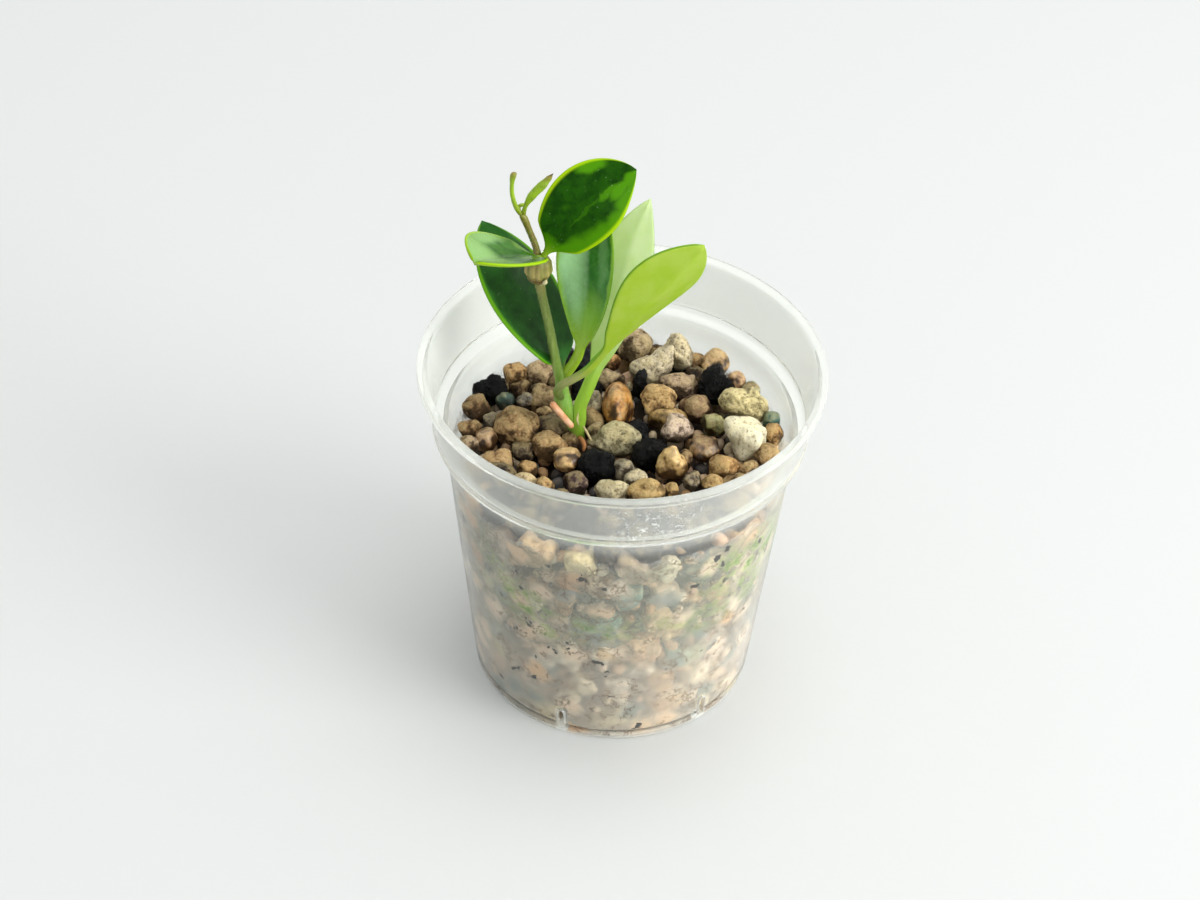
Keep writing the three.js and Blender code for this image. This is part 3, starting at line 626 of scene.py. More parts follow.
leaning = []
draw = draws(WALL_SEED)
for _ in range(WALL_TRIES):
    half = WALL_SMALLEST + WALL_SIZES * next(draw)
    z = WALL_LOWEST + WALL_HEIGHTS * next(draw)
    around = 2 * math.pi * next(draw)
    flat = half * (WALL_FLATTEST + (1 - WALL_FLATTEST) * next(draw))
    lean = 180 * next(draw)
    far = wall_inside(z) - FLOOR_GAP - WALL_SEAT * half
    place = (far * math.cos(around), far * math.sin(around), z)
    if all(math.dist(place, other) > WALL_SPACING * (half + wide) for other, (wide, _, _), _ in leaning):
        leaning.append((place, (half, half, flat), lean))
for kind in ("gravel", "pumice", "charcoal", "chert"):
    stones = []
    for i, (place, half, lean) in enumerate(leaning):
        of_kind, colour = WALL_COLOURS[i % len(WALL_COLOURS)]
        if of_kind == kind:
            stones.append((colour, WALL_STONE_SEEDS + i, kind, place, half, lean))
    in_pieces(heap("wall_" + kind, stones, 4), stone_finish(kind, 0.5), "stone_mix", "stone_bed")


def recipe(name, numbers):
    """A Geometry Nodes tree, and links to its shape and its named numbers."""
    group = bpy.data.node_groups.new(name, "GeometryNodeTree")
    group.interface.new_socket("Geometry", in_out="INPUT", socket_type="NodeSocketGeometry")
    for label, value in numbers.items():
        kind = "NodeSocketInt" if isinstance(value, int) else "NodeSocketFloat"
        group.interface.new_socket(label, in_out="INPUT", socket_type=kind).default_value = value
    group.interface.new_socket("Geometry", in_out="OUTPUT", socket_type="NodeSocketGeometry")
    tree = Tree(group)
    given = tree.node("NodeGroupInput").socket.node
    return tree, *[Link(tree, output) for output in given.outputs[: len(numbers) + 1]]


def chance(tree, low, high, seed):
    """A random number, or three of them, for each grain."""
    if isinstance(low, tuple):
        values = {0: low, 1: high, "Seed": seed}
        return tree.node("FunctionNodeRandomValue", values, data_type="FLOAT_VECTOR")
    return tree.node("FunctionNodeRandomValue", {2: low, 3: high, "Seed": seed}, 1, data_type="FLOAT")


def ended(tree, shape, finish):
    """Gives a recipe's shape its material and closes the recipe."""
    done = tree.node("GeometryNodeSetMaterial", {"Geometry": shape, "Material": finish})
    tree.node("NodeGroupOutput", [done])
    return tree.tree


def grit_recipe(finish):
    """Pours grit over a surface: each grain is turned and sized at random, then chipped."""
    tree, surface, smallest, largest, apart, seed, foot, slope, floor = recipe("poured grit", {
        "Smallest": 1.0 * MM,
        "Largest": 2.1 * MM,
        "Apart": 2.3 * MM,
        "Seed": 1,
        "Wall Foot": (wall_inside(0) - WALL_GAP) * MM,
        "Wall Slope": (STEP_RADIUS - FOOT_RADIUS) / (COLLAR_FOOT - FLOOR_THICKNESS),
        "Floor": (FLOOR_THICKNESS + FLOOR_GAP) * MM,
    })
    points = tree.node("GeometryNodeDistributePointsOnFaces", {
        "Mesh": surface,
        "Distance Min": apart,
        "Density Max": GRAINS_PER_SQUARE_METRE,
        "Seed": seed,
    }, distribute_method="POISSON")
    size = chance(tree, (0.62, 0.7, 0.62), (1.0, 1.15, 0.9), seed + 3)
    sizes = {"Vector": size, "Scale": chance(tree, smallest, largest, seed + 5)}
    laid = tree.node("GeometryNodeInstanceOnPoints", {
        "Points": points,
        "Instance": tree.node("GeometryNodeMeshIcoSphere", {"Radius": 1.0, "Subdivisions": 2}),
        "Rotation": chance(tree, (0, 0, 0), (WHOLE_TURN,) * 3, seed + 7),
        "Scale": tree.node("ShaderNodeVectorMath", sizes, operation="SCALE"),
    })
    tone = {"Geometry": laid, "Name": "tone", "Value": chance(tree, 0.0, 1.0, seed + 11)}
    marked = tree.node("GeometryNodeStoreNamedAttribute", tone, data_type="FLOAT", domain="INSTANCE")
    real_grains = tree.node("GeometryNodeRealizeInstances", [marked])
    place = tree.node("GeometryNodeInputPosition")
    lumps = tree.node("ShaderNodeTexNoise", {"Vector": place, "Scale": LUMPS_PER_METRE, "Detail": 2.0})
    outward = {"Vector": tree.node("GeometryNodeInputNormal"), "Scale": (lumps - 0.5) * MM}
    shift = tree.node("ShaderNodeVectorMath", outward, operation="SCALE")
    chipped = tree.node("GeometryNodeSetPosition", {"Geometry": real_grains, "Offset": shift})
    x, y, z = tree.parts(place)
    out = (x * x + y * y) ** 0.5
    inward = ((foot + z * slope) / out).least(1.0)
    kept = tree.node("ShaderNodeCombineXYZ", [x * inward, y * inward, z.most(floor)])
    pressed = tree.node("GeometryNodeSetPosition", {"Geometry": chipped, "Position": kept})
    shaded = tree.node("GeometryNodeSetShadeSmooth", {"Geometry": pressed, "Shade Smooth": True})
    return ended(tree, shaded, finish)


def grit_finish():
    """Dusty grit of every kind in the mix, one tone for each grain."""
    finish = Finish("grit")
    tones = [
        (0.0, "c9a987"), (0.13, "d8c3a0"), (0.24, "a98460"), (0.34, "d9b394"), (0.44, "e2d6bf"),
        (0.53, "4a5052"), (0.66, "c39a6c"), (0.74, "b8a48c"), (0.8, "5b635c"), (0.86, "dcc6ae"),
        (0.93, "2e3235"),
    ]
    base = finish.ramp(finish.carry("tone"), tones, "CONSTANT")
    shade = finish.mix(finish.cloud(0.7, 4).step(0.35, 0.7) * 0.35, base, "7a5c3f")
    specks = finish.cells(1.2).step(0.16, 0.1) * finish.cloud(0.8).step(0.5, 0.6)
    specked = finish.mix(specks * 0.7, shade, "2b2320")
    return finish.solid(specked, finish.cloud(1.1) * 0.1 + 0.8, finish.cloud(1.6, 3), 0.25)


def grown(piece, tree, **numbers):
    """Runs a recipe over a piece, which keeps only what the recipe makes."""
    growth = piece.modifiers.new("growth", "NODES")
    growth.node_group = tree
    for label, number in numbers.items():
        growth[tree.interface.items_tree[label].identifier] = number
    settle(piece)
    return piece


grit_look = grit_finish()
poured_on = turned("grit", [
    (0, GRIT_FOOT),
    (wall_inside(GRIT_FOOT) - GRIT_FOOT_DEPTH, GRIT_FOOT),
    (wall_inside(GRIT_CORNER) - GRIT_DEPTH, GRIT_CORNER),
    (wall_inside(GRIT_TOP) - GRIT_DEPTH, GRIT_TOP),
    (0, GRIT_TOP),
], 96)
grit = grown(poured_on, grit_recipe(grit_look), Seed=GRIT_SEED)
in_pieces(grit, grit_look, "stone_mix", "stone_bed")


def heart_finish():
    """Painted shade: a dark body for the unlit middle of the bed, where no stone can be told apart."""
    finish = Finish("dark middle of the bed")
    colour = finish.mix(finish.cloud(0.4).step(0.3, 0.7), "2a211a", "4a3a2b")
    return finish.solid(colour, 0.95, finish.cloud(0.8), 0.6)


heart = turned("bed_middle", rounded(HEART_OUTLINE), 64)
smooth(heart, HEART_SHARPEST)
in_pieces(heart, heart_finish(), "stone_mix", "stone_bed")

# ------------------------------------------------------------------ stones on top
# Pumice, worn river gravel, charcoal and green chert, 3 to 9 mm across, loose on the
# poured bed. Pumice is full of holes, charcoal breaks into sharp black flats, and the
# river gravel is worn round and stained with rust.

# Where none is given, a stone's height in the pot, and its half height as a share of its two
# half widths together. Then how far the smaller ones reach into the bed
STONE_Z = 55.5
STONE_DEPTH = 0.45
STONE_ROOT = 1.2
# Stones are made so much fuller that they touch
FULLER = 1.15
# The seeds of their shapes count up from these
LOOSE_STONE_SEEDS = 100
BEDDED_STONE_SEEDS = 500

# Name, slot, kind, colour, place of the middle, half sizes, lean to the right
LOOSE_STONES = [
    ("charcoal_left", "charcoal", "charcoal", "0d0e0f", (-26.2, 15, 55.5), (3, 2.6, 2.52), 0),
    ("tan_broad", "stone_tan", "gravel", "9a7a52", (-20.5, 3.2, 55.5), (4.2, 4.2, 4), 0),
    ("orange_left", "stone_orange", "gravel", "ab8a5e", (-13.7, -1.5, 55.5), (3.4, 3, 2.88), 0),
    ("orange_front", "stone_orange", "smooth", "d0ab74", (-10.2, -6.6, 56.2), (3, 2.3, 2.39), -20),
    ("charcoal_front", "charcoal", "charcoal", "0d0d0e", (-4.5, -7.8, 55.5), (3.6, 3.4, 3.15), 0),
    ("olive_pitted", "stone_olive", "pumice", "aca380", (-0.6, 0.2, 56.2), (4.3, 3, 3.29), 12),
    ("orange_upright", "stone_orange", "smooth", "b07a36", (-0.3, 10.6, 55.6), (2.9, 4.8, 4.6), -6),
    ("grey_back", "stone_brown", "gravel", "a08c6c", (2.4, 28.8, 57), (3.6, 3.6, 3.24), 0),
    ("grey_forked", "stone_grey", "pumice", "c4b79c", (6.2, 22.6, 56.5), (3.4, 3.2, 4.2), 35),
    ("pale_pitted", "stone_pale", "pumice", "cdbf9f", (11.8, 27.4, 57), (2.8, 3, 4.2), -14),
    ("tan_round", "stone_tan", "smooth", "b39263", (19, 25.2, 56.5), (2.8, 2.7, 2.48), 0),
    ("pink_flat", "stone_pink", "gravel", "a08970", (11.8, 18.2, 55.5), (3.8, 2.4, 2.79), 15),
    ("charcoal_right", "charcoal", "charcoal", "0c0c0d", (19.2, 17.4, 56.2), (3.3, 3.4, 4), 0),
    ("tan_centre", "stone_tan", "gravel", "b28f5c", (7.6, 12.4, 56.3), (3.3, 3.1, 2.88), 0),
    ("cream_pitted", "stone_cream", "pumice", "c9bc8c", (25.2, 11.6, 56.6), (4.3, 3.2, 3.38), 24),
    ("white_knuckle", "stone_pale", "bone", "e0d8ba", (25.6, 2, 56.8), (4.1, 4.2, 4), 30),
    ("pink_pale", "stone_pink", "gravel", "bda896", (11.2, 4, 56.4), (3, 3.2, 2.79), 20),
    ("brown_round", "stone_brown", "smooth", "7c5f3a", (16.8, -0.8, 55.5), (2.8, 3.2, 2.7), 0),
    ("charcoal_centre", "charcoal", "charcoal", "0a0a0b", (6.1, -3.2, 55.5), (2.9, 3.6, 2.93), 0),
    ("orange_drop", "stone_orange", "smooth", "d0ab70", (10.6, -7, 56.4), (2.9, 2.8, 3.8), 0),
]

# What makes some of them easy to know again: direction, height against the stone's own
# size, and width of each bulge or hollow
BULGES = {
    "white_knuckle": [
        ((-0.75, 0.15, 0.5), 0.26, 0.09), ((0.95, 0.08, 0.39), 0.34, 0.07),
        ((-0.35, -0.8, -0.5), 0.42, 0.09), ((0.1, 0.5, 0.88), -0.14, 0.06),
        ((-0.95, -0.3, -0.15), -0.16, 0.08), ((0.8, -0.58, -0.25), -0.2, 0.09),
    ],
    "cream_pitted": [
        ((0.35, 0.5, 0.79), 0.42, 0.07), ((-0.95, -0.1, 0.2), 0.16, 0.1), ((0.3, -0.5, 0.8), -0.34, 0.01),
        ((-0.3, -0.35, 0.88), -0.26, 0.009), ((-0.5, -0.6, 0.62), -0.2, 0.01),
    ],
    "grey_forked": [
        ((0.62, 0.3, 0.72), 0.42, 0.05), ((-0.3, 0.35, 0.85), -0.24, 0.07),
        ((-0.85, -0.2, 0.35), 0.22, 0.1),
    ],
    "pale_pitted": [
        ((-0.5, 0.3, 0.8), 0.18, 0.06), ((0.6, 0.2, 0.77), 0.16, 0.06), ((0.35, -0.8, -0.1), 0.2, 0.08),
        ((-0.1, -0.75, 0.62), -0.16, 0.006), ((-0.55, -0.6, 0.55), -0.15, 0.01),
    ],
    "pink_flat": [((0.7, 0.1, 0.72), 0.38, 0.03), ((-0.85, -0.1, -0.2), 0.14, 0.08)],
    "orange_drop": [
        ((0, 0.2, 0.97), 0.42, 0.05), ((0.8, 0, 0.5), -0.2, 0.1), ((-0.8, 0, 0.5), -0.22, 0.1),
        ((0, -0.8, 0.5), -0.12, 0.08), ((0.6, -0.6, -0.3), 0.14, 0.1), ((-0.6, -0.6, -0.3), 0.12, 0.1),
    ],
    "orange_left": [((-0.1, -0.55, 0.82), -0.2, 0.008), ((0.5, 0.1, 0.85), 0.12, 0.08)],
    "olive_pitted": [
        ((0.75, 0, 0.55), 0.14, 0.06), ((-0.95, -0.2, 0), 0.2, 0.05), ((0.5, -0.45, 0.73), -0.14, 0.004),
    ],
    "tan_broad": [
        ((-0.2, 0.1, 0.97), 0.08, 0.3), ((0.1, -0.95, 0.1), 0.08, 0.2), ((0.15, -0.7, 0.66), -0.1, 0.02),
    ],
    "charcoal_left": [((0.1, 0.25, 0.95), 0.24, 0.04), ((-0.95, 0, 0.2), 0.2, 0.08)],
    "tan_centre": [((-0.3, 0.3, 0.9), 0.12, 0.1), ((-0.1, -0.9, 0.1), 0.1, 0.2)],
}

# Kind, colour, middle, half sizes and lean of the smaller ones, that sit in the bed
BEDDED_STONES = [
    ("gravel", "8c6d4a", (-28.9, 9), (2.8, 2.8), 0), ("chert", "2f4f42", (-23.3, 12), (1.8, 1.6), 0),
    ("gravel", "b08a5a", (-21.6, 20.4), (2.4, 2.2), 0), ("gravel", "a08669", (-16.5, 20.2), (3, 2.8), 0),
    ("pumice", "8b7355", (-15.8, 13.2), (2.6, 2.6), 0), ("gravel", "9a7d58", (-15.2, 8.2), (1.6, 1.4), 0),
    ("gravel", "6b6660", (-19.4, 12), (1.7, 1.6), 0), ("smooth", "a28260", (-26.5, 0.6), (2, 2.6), 25),
    ("gravel", "967650", (-30, 2.7), (2.3, 1.8), 0), ("gravel", "8a7f6c", (-25.9, 5.8), (1.8, 1.6), 0),
    ("gravel", "9c866c", (-30, -1.4), (1.8, 1.6), 0), ("gravel", "a17f56", (-23.6, -6.4), (2.8, 2.2), 0),
    ("gravel", "a98555", (-18, -8.4), (1.8, 1.5), 0), ("pumice", "c9b48c", (-18.4, -12.4), (2.2, 1.8), 0),
    ("gravel", "b08e5e", (-14.5, -13), (1.7, 1.6), 0), ("gravel", "4d3a38", (-8.4, -12.2), (2.6, 1.9), 0),
    ("gravel", "a38d6a", (-4.8, 3.9), (1.5, 1.8), 0), ("pumice", "9d927c", (-4.9, 11.6), (1.6, 3.2), 0),
    ("gravel", "9a8468", (-2.1, 19.8), (2.6, 1.9), 0), ("gravel", "b98a55", (-2.2, 25.4), (1.7, 1.7), 0),
    ("charcoal", "1a1b1c", (4, 17.4, 56.6), (1.4, 1.4, 3.6), 0),
    ("gravel", "b08d5f", (15.6, 26.2), (1.6, 2), 0),
    ("smooth", "b5916a", (23.6, 20), (1.8, 2.4), 15), ("smooth", "8a8a62", (26.6, 17.6), (1.8, 2), 0),
    ("smooth", "b29257", (9.6, 8.2, 54.8), (4, 2.2), 0), ("gravel", "86694e", (15.4, 11.4), (3.2, 2.5), 0),
    ("smooth", "8d8d5c", (18.6, 6.6), (2.8, 2.1), 30), ("charcoal", "1b1c1e", (3.4, 3.9), (2.2, 2), 0),
    ("gravel", "8f8672", (0.6, -7.4), (2, 2), 0), ("gravel", "b5aa90", (3.4, -10.4), (2, 1.8), 0),
    ("pumice", "c4b896", (-1.2, -14), (3.1, 2), 0), ("gravel", "b2925e", (5.4, -14.2), (3.4, 2.1), 0),
    ("gravel", "ad8c58", (10.6, -13.4), (1.5, 1.5), 0), ("gravel", "9b8f7a", (14.4, -10.2), (1.6, 1.9), 0),
    ("pumice", "a37d4f", (20.6, -6.3), (3, 2.6), 0), ("pumice", "a88656", (18.4, -11.4), (2.3, 1.7), 0),
    ("gravel", "7d6040", (13.2, -3.9), (1.3, 1.8), 0), ("gravel", "ab8b5e", (25.6, -6.6), (2, 1.7), 0),
    ("gravel", "9a7c52", (29.3, -2.2), (2.4, 2.2), 0), ("gravel", "a07c4c", (30.6, 4.2), (2, 2.6), 0),
    ("chert", "2d5a4c", (30.7, 8.8), (1.8, 1.6), 0), ("gravel", "6b5236", (-20.2, 16.6, 54.6), (2.2, 2), 0),
    ("gravel", "5a4630", (-24.6, 17.6, 54.2), (1.9, 1.8), 0),
    ("gravel", "4a3c2c", (-16.5, 16.6, 54), (2, 1.8), 0),
]
# Small ones wherever there is still room, sunk a little: their kinds and colours, the seed of
# their places and tries to place one, then how far they sink, half sizes and the spread of
# them, half heights, and how near they come to each other and to the wall
# Their dark browns and blacks are partly painted shade, for the gaps they fill
FILL_COLOURS = [
    ("gravel", "5f4a2e"), ("gravel", "453524"), ("gravel", "6e5636"), ("charcoal", "101112"),
    ("gravel", "514231"), ("gravel", "755b39"), ("gravel", "382c22"), ("charcoal", "141516"),
    ("gravel", "5b4d3a"),
]
FILL_SEED = 2024
FILL_TRIES = 900
FILL_SINK = 0.6
FILL_SMALLEST = 2.2
FILL_SIZES = 1.6
FILL_FLATNESS = 0.9
FILL_SPACING = 0.82
FILL_WALL_GAP = 0.5


def full(place, half):
    """A stone's middle and half sizes with the usual height where none is given."""
    height, deep = (*place, STONE_Z)[2], (*half, STONE_DEPTH * sum(half))[2]
    return (*place[:2], height), (*half[:2], deep)


stone_finishes = {kind: stone_finish(kind) for kind in WEAR}
for i, (name, slot, kind, colour, place, half, lean) in enumerate(LOOSE_STONES):
    half = np.array(half) * FULLER
    stone = (colour, LOOSE_STONE_SEEDS + i, kind, place, half, lean, BULGES.get(name, ()))
    piece = heap(name, [stone], 5, inside=False)
    in_pieces(piece, stone_finishes[kind], slot, "stone_" + name)

seated = [(kind, colour, *full(place, half), lean) for kind, colour, place, half, lean in BEDDED_STONES]
taken = [(place, (half[0] + half[1]) / 2) for *_, place, half, lean in LOOSE_STONES + seated]
draw = draws(FILL_SEED)
for _ in range(FILL_TRIES):
    half = FILL_SMALLEST + FILL_SIZES * next(draw)
    far = (wall_inside(STONE_Z) - half - FILL_WALL_GAP) * math.sqrt(next(draw))
    around = 2 * math.pi * next(draw)
    spot = (far * math.cos(around), far * math.sin(around))
    if all(math.dist(spot, place[:2]) > FILL_SPACING * (half + wide) for place, wide in taken):
        taken.append((spot, half))
        kind, colour = FILL_COLOURS[len(taken) % len(FILL_COLOURS)]
        seated.append((kind, colour, (*spot, STONE_Z - FILL_SINK), (half, half, FILL_FLATNESS * half), 0))
for kind in sorted({row[0] for row in seated}):
    stones = [
        (colour, BEDDED_STONE_SEEDS + i, kind, place, np.array(half) * FULLER, lean)
        for i, (of_kind, colour, place, half, lean) in enumerate(seated) if of_kind == kind
    ]
    piece = heap("bedded_" + kind, stones, 4, root=STONE_ROOT)
    in_pieces(piece, stone_finishes[kind], "stone_mix", "stone_bed")

# ------------------------------------------------------------------ stem and shoot
# A soft green stem, 1.7 mm thick and stouter low down, with fine pale hairs. It swells into
# a ribbed node at the top, carries a cut-off side stub, and ends in a young shoot with two
# closed leaves.

LONG_STEM = [
    (-8.1, 1.9, 50.6), (-8.7, 2.1, 55.5), (-10, 1.9, 60), (-11.4, 1.9, 64), (-11.7, 2.2, 67),
    (-12.1, 2.4, 69.9), (-12.9, 2.5, 73.1), (-14.3, 2.6, 81.7), (-15.9, 2.6, 90), (-16.5, 2.6, 93.6),
]
LONG_STEM_RADII = (0.8, 0.95, 1.25, 1.75, 1.35, 1.1, 0.95, 0.85, 0.85, 1)
UPPER_NODE = [
    (-16.5, 2.6, 93), (-16.7, 2.6, 94.8), (-16.7, 2.6, 96.4), (-16.7, 2.6, 98.1), (-16.8, 2.8, 99.8),
]
UPPER_NODE_RADII = (0.9, 2.1, 2.65, 2.45, 1.2)
NODE_RIBS = 9
RIB_HEIGHT = 0.09
RIB_GROOVE = 0.05
CUT_STUB = [(-13.7, 0.1, 65.4), (-11.6, 0, 62.4), (-9.4, 0, 59.3)]
SHOOT = [
    (-16.8, 2.8, 99), (-17.3, 3.2, 101.4), (-18.4, 3.4, 104.5), (-19.5, 3.6, 107.4), (-20.1, 3.6, 108.5),
]
SHOOT_RADII = (0.75, 0.65, 0.62, 0.7, 0.5)
YOUNG_LEAF_NARROW = [
    (-20, 3.6, 108.2), (-20.9, 3.4, 109.9), (-21.7, 3.2, 112.8), (-21.8, 3.2, 115.3),
    (-21.5, 3.2, 117.5), (-21, 3.3, 118),
]
YOUNG_LEAF_WIDE = [
    (-19.7, 3.6, 107.8), (-19.3, 3.2, 110.4), (-17.9, 2.8, 113.5), (-16.3, 2.6, 115.7),
    (-15.1, 2.5, 117.4), (-14.2, 2.5, 118.7),
]
BUD = [(-20.3, 3.7, 108.4), (-20.5, 4.4, 109.6), (-19.3, 4.4, 110.1)]
NODE_BUD = [(-15.9, 1.2, 94.3), (-15.3, 0.5, 94.9), (-15.1, 0.3, 95.7)]


def smooth_path(knots, share):
    """Places and directions at shares from 0 to 1 along a smooth curve through the knots."""
    knots = np.array(knots, float)
    knots = np.vstack([2 * knots[0] - knots[1], knots, 2 * knots[-1] - knots[-2]])
    at = np.asarray(share) * (len(knots) - 3)
    i = np.minimum(at.astype(int), len(knots) - 4)
    w = (at - i)[:, None]
    a, b, c, d = (knots[i + k] for k in range(4))
    first, gap, last = (np.linalg.norm(q - p, axis=1)[:, None] ** 0.5 for p, q in ((a, b), (b, c), (c, d)))
    leave = gap * ((b - a) / first - (c - a) / (first + gap) + (c - b) / gap)
    enter = gap * ((c - b) / gap - (d - b) / (gap + last) + (d - c) / last)
    bend, twist = 3 * (c - b) - 2 * leave - enter, 2 * (b - c) + leave + enter
    return b + w * (leave + w * (bend + w * twist)), leave + w * (2 * bend + 3 * w * twist)


def skin(rings):
    """Points and faces of a closed skin over rings with the same number of points."""
    rows, count = rings.shape[:2]
    points = np.vstack([rings.reshape(-1, 3), rings[0].mean(axis=0), rings[-1].mean(axis=0)])
    faces = []
    for k in range(count):
        after = (k + 1) % count
        for row in range(0, (rows - 1) * count, count):
            faces.append((row + k, row + after, row + count + after, row + count + k))
        faces.append((len(points) - 2, after, k))
        faces.append((len(points) - 1, (rows - 1) * count + k, (rows - 1) * count + after))
    return points, faces


def stalk(knots, radii, rows=24, sides=16, ribs=0, flat=1.0):
    """A closed round stalk, rounded off at its ends, with upright ribs or pressed flat."""
    t = 0.5 - 0.5 * np.cos(np.pi * np.linspace(0, 1, rows))
    centre, way = smooth_path(knots, t)
    along = unit(way)
    span = np.abs(np.subtract(knots[-1], knots[0]))
    side = np.array((0, 0, 1) if span[0] > span[2] else (1, 0, 0), float)
    out = unit(side - (along @ side)[:, None] * along)
    across = np.cross(along, out)
    at = t * (len(radii) - 1)
    share = at % 1
    step = share * share * (3 - 2 * share)
    radius = np.interp(np.floor(at) + step, range(len(radii)), radii)
    radius *= np.sqrt(1 - np.clip(1 - np.minimum(t, 1 - t) * rows / 3, 0, 0.9) ** 2)
    turn = 2 * np.pi * np.arange(sides) / sides
    rib = 1 + (RIB_HEIGHT * np.abs(np.cos(turn * ribs / 2)) - RIB_GROOVE if ribs else 0 * turn)
    wide = out[:, None] * np.cos(turn)[None, :, None]
    deep = across[:, None] * (flat * np.sin(turn))[None, :, None]
    return skin(centre[:, None] + (wide + deep) * (radius[:, None] * rib)[:, :, None])


def joined(name, *shapes):
    """One piece from several closed shapes."""
    points, faces = [], []
    for shape, shape_faces in shapes:
        faces += [tuple(len(points) + k for k in face) for face in shape_faces]
        points += shape.tolist()
    piece = piece_from(name, points, faces)
    piece.data.shade_smooth()
    return piece


def stem_finish():
    """Olive green, darker at the foot, browner towards the node, with fine pale lengthwise streaks."""
    finish = Finish("green stem")
    z = finish.parts(finish.place)[2]
    green = finish.ramp((z - 50) / 50, [
        (0.0, "27431b"), (0.1, "47701e"), (0.17, "7ba336"), (0.3, "6c9b36"), (0.42, "74963a"),
        (0.6, "728a3c"), (0.8, "6c7c38"), (0.88, "857c44"),
    ])
    streaks = finish.cloud(1.4, 3, 0.6, stretch=(1, 1, 0.14))
    pale = finish.mix(streaks.step(0.5, 0.7) * 0.3, green, "a9b566")
    brown = finish.mix(finish.cloud(0.9, 5, 0.7).step(0.56, 0.72) * 0.4, pale, "6b5a2c")
    return finish.solid(brown, 0.5, streaks + finish.cloud(3, 3) * 0.5, 0.06)


def node_finish():
    """The ribbed node: tan ribs with olive between them and brown where the ribs end."""
    finish = Finish("ribbed node")
    x, y, z = finish.parts(finish.place)
    out = ((x + 16.7) * (x + 16.7) + (y - 2.6) * (y - 2.6)) ** 0.5
    ribs = finish.cloud(0.9, 3, 0.6, stretch=(1, 1, 0.1))
    tan = finish.mix(ribs.step(0.42, 0.6), "7e7f3a", "a29454")
    groove = finish.mix((out - 2.4).step(0.25, -0.05) * 0.5, tan, "5a5a22")
    low = (z - 94.6).size().step(0.9, 0.2) * finish.cloud(1.3, 4).step(0.4, 0.6)
    ends = finish.mix(low, groove, "5b3f1e")
    return finish.solid(ends, 0.55, ribs + finish.cloud(2.5, 3) * 0.4, 0.12)


def plain_growth(name, low, high, spots, roughness, depth, grain=1.2):
    """Young or dry growth: two tones in soft clouds, with small darker spots."""
    finish = Finish(name)
    tones = finish.mix(finish.cloud(0.5, 3).step(0.35, 0.65), low, high)
    spotted = finish.mix(finish.cloud(grain, 4, 0.7).step(0.58, 0.72) * 0.6, tones, spots)
    return finish.solid(spotted, roughness, finish.cloud(grain * 2, 4), depth)


stem = joined("long_stem", stalk(LONG_STEM, LONG_STEM_RADII, 110, 20))
in_pieces(stem, stem_finish(), "stem_green", "stem")
upper_node = joined("upper_node", stalk(UPPER_NODE, UPPER_NODE_RADII, 40, 90, NODE_RIBS))
in_pieces(upper_node, node_finish(), "stem_green", "stem")
stub = joined("cut_stub", stalk(CUT_STUB, (0.68, 0.64, 0.6), 40, 20))
stub_finish = plain_growth("cut side stub", "cf8f60", "e6b894", "b06a3c", 0.6, 0.12, 1.8)
in_pieces(stub, stub_finish, "stem_green", "stem")
bud = joined("node_bud", stalk(NODE_BUD, (0.3, 0.45, 0.2), 12, 12))
bud_finish = plain_growth("cream bud", "b9b07a", "d3cc9c", "8f8a4e", 0.6, 0.05)
in_pieces(bud, bud_finish, "stem_green", "stem")


def young_finish():
    """Fresh yellow-green, brown where the leaves part and dark at the tips."""
    finish = Finish("young growth")
    z = finish.parts(finish.place)[2]
    green = finish.ramp((z - 99) / 19.6, [
        (0.0, "6a5f26"), (0.3, "72682a"), (0.45, "7a7428"), (0.55, "8fa822"), (0.75, "98bc24"),
        (0.9, "8cac20"), (0.97, "857a2e"), (1.0, "3f3220"),
    ])
    patches = finish.mix(finish.cloud(0.8, 3).step(0.5, 0.65) * 0.45, green, "6b8a1e")
    brown = finish.mix(finish.cloud(1.6, 4, 0.7).step(0.62, 0.74) * 0.5, patches, "6f5426")
    return finish.solid(brown, 0.42, finish.cloud(2.2, 4), 0.06)


shoot = joined(
    "young_shoot",
    stalk(SHOOT, SHOOT_RADII, 40),
    stalk(YOUNG_LEAF_NARROW, (0.5, 0.48, 0.42, 0.4, 0.6, 0.3), 44, 16, 0, 0.8),
    stalk(YOUNG_LEAF_WIDE, (0.45, 0.42, 0.85, 0.9, 0.6, 0.12), 48, 16, 0, 0.55),
    stalk(BUD, (0.35, 0.35, 0.35), 16, 12),
)
in_pieces(shoot, young_finish(), "stem_green", "shoot")


def hair_recipe(finish):
    """Fine pale hairs over green growth, each a thin three-sided spike."""
    tree, growth, seed, number, length, radius = recipe("fine hairs", {
        "Seed": 1,
        "Hairs per Square Metre": 5.5e6,
        "Length": 0.2 * MM,
        "Radius at the Foot": 0.028 * MM,
    })
    scatter = {"Mesh": growth, "Density": number, "Seed": seed}
    points = tree.node("GeometryNodeDistributePointsOnFaces", scatter)
    turn = Link(tree, points.socket.node.outputs["Rotation"])
    tilt = chance(tree, (-0.7, -0.7, 0), (0.7, 0.7, WHOLE_TURN), seed)
    leaning = tree.node("FunctionNodeRotateRotation", [turn, tilt], rotation_space="LOCAL")
    sizes = {"Vertices": 3, "Radius Top": 0.0, "Radius Bottom": radius, "Depth": length}
    spike = tree.node("GeometryNodeMeshCone", sizes)
    placed = {"Points": points, "Instance": spike, "Rotation": leaning}
    laid = tree.node("GeometryNodeInstanceOnPoints", placed)
    real_hairs = tree.node("GeometryNodeRealizeInstances", [laid])
    return ended(tree, real_hairs, finish)


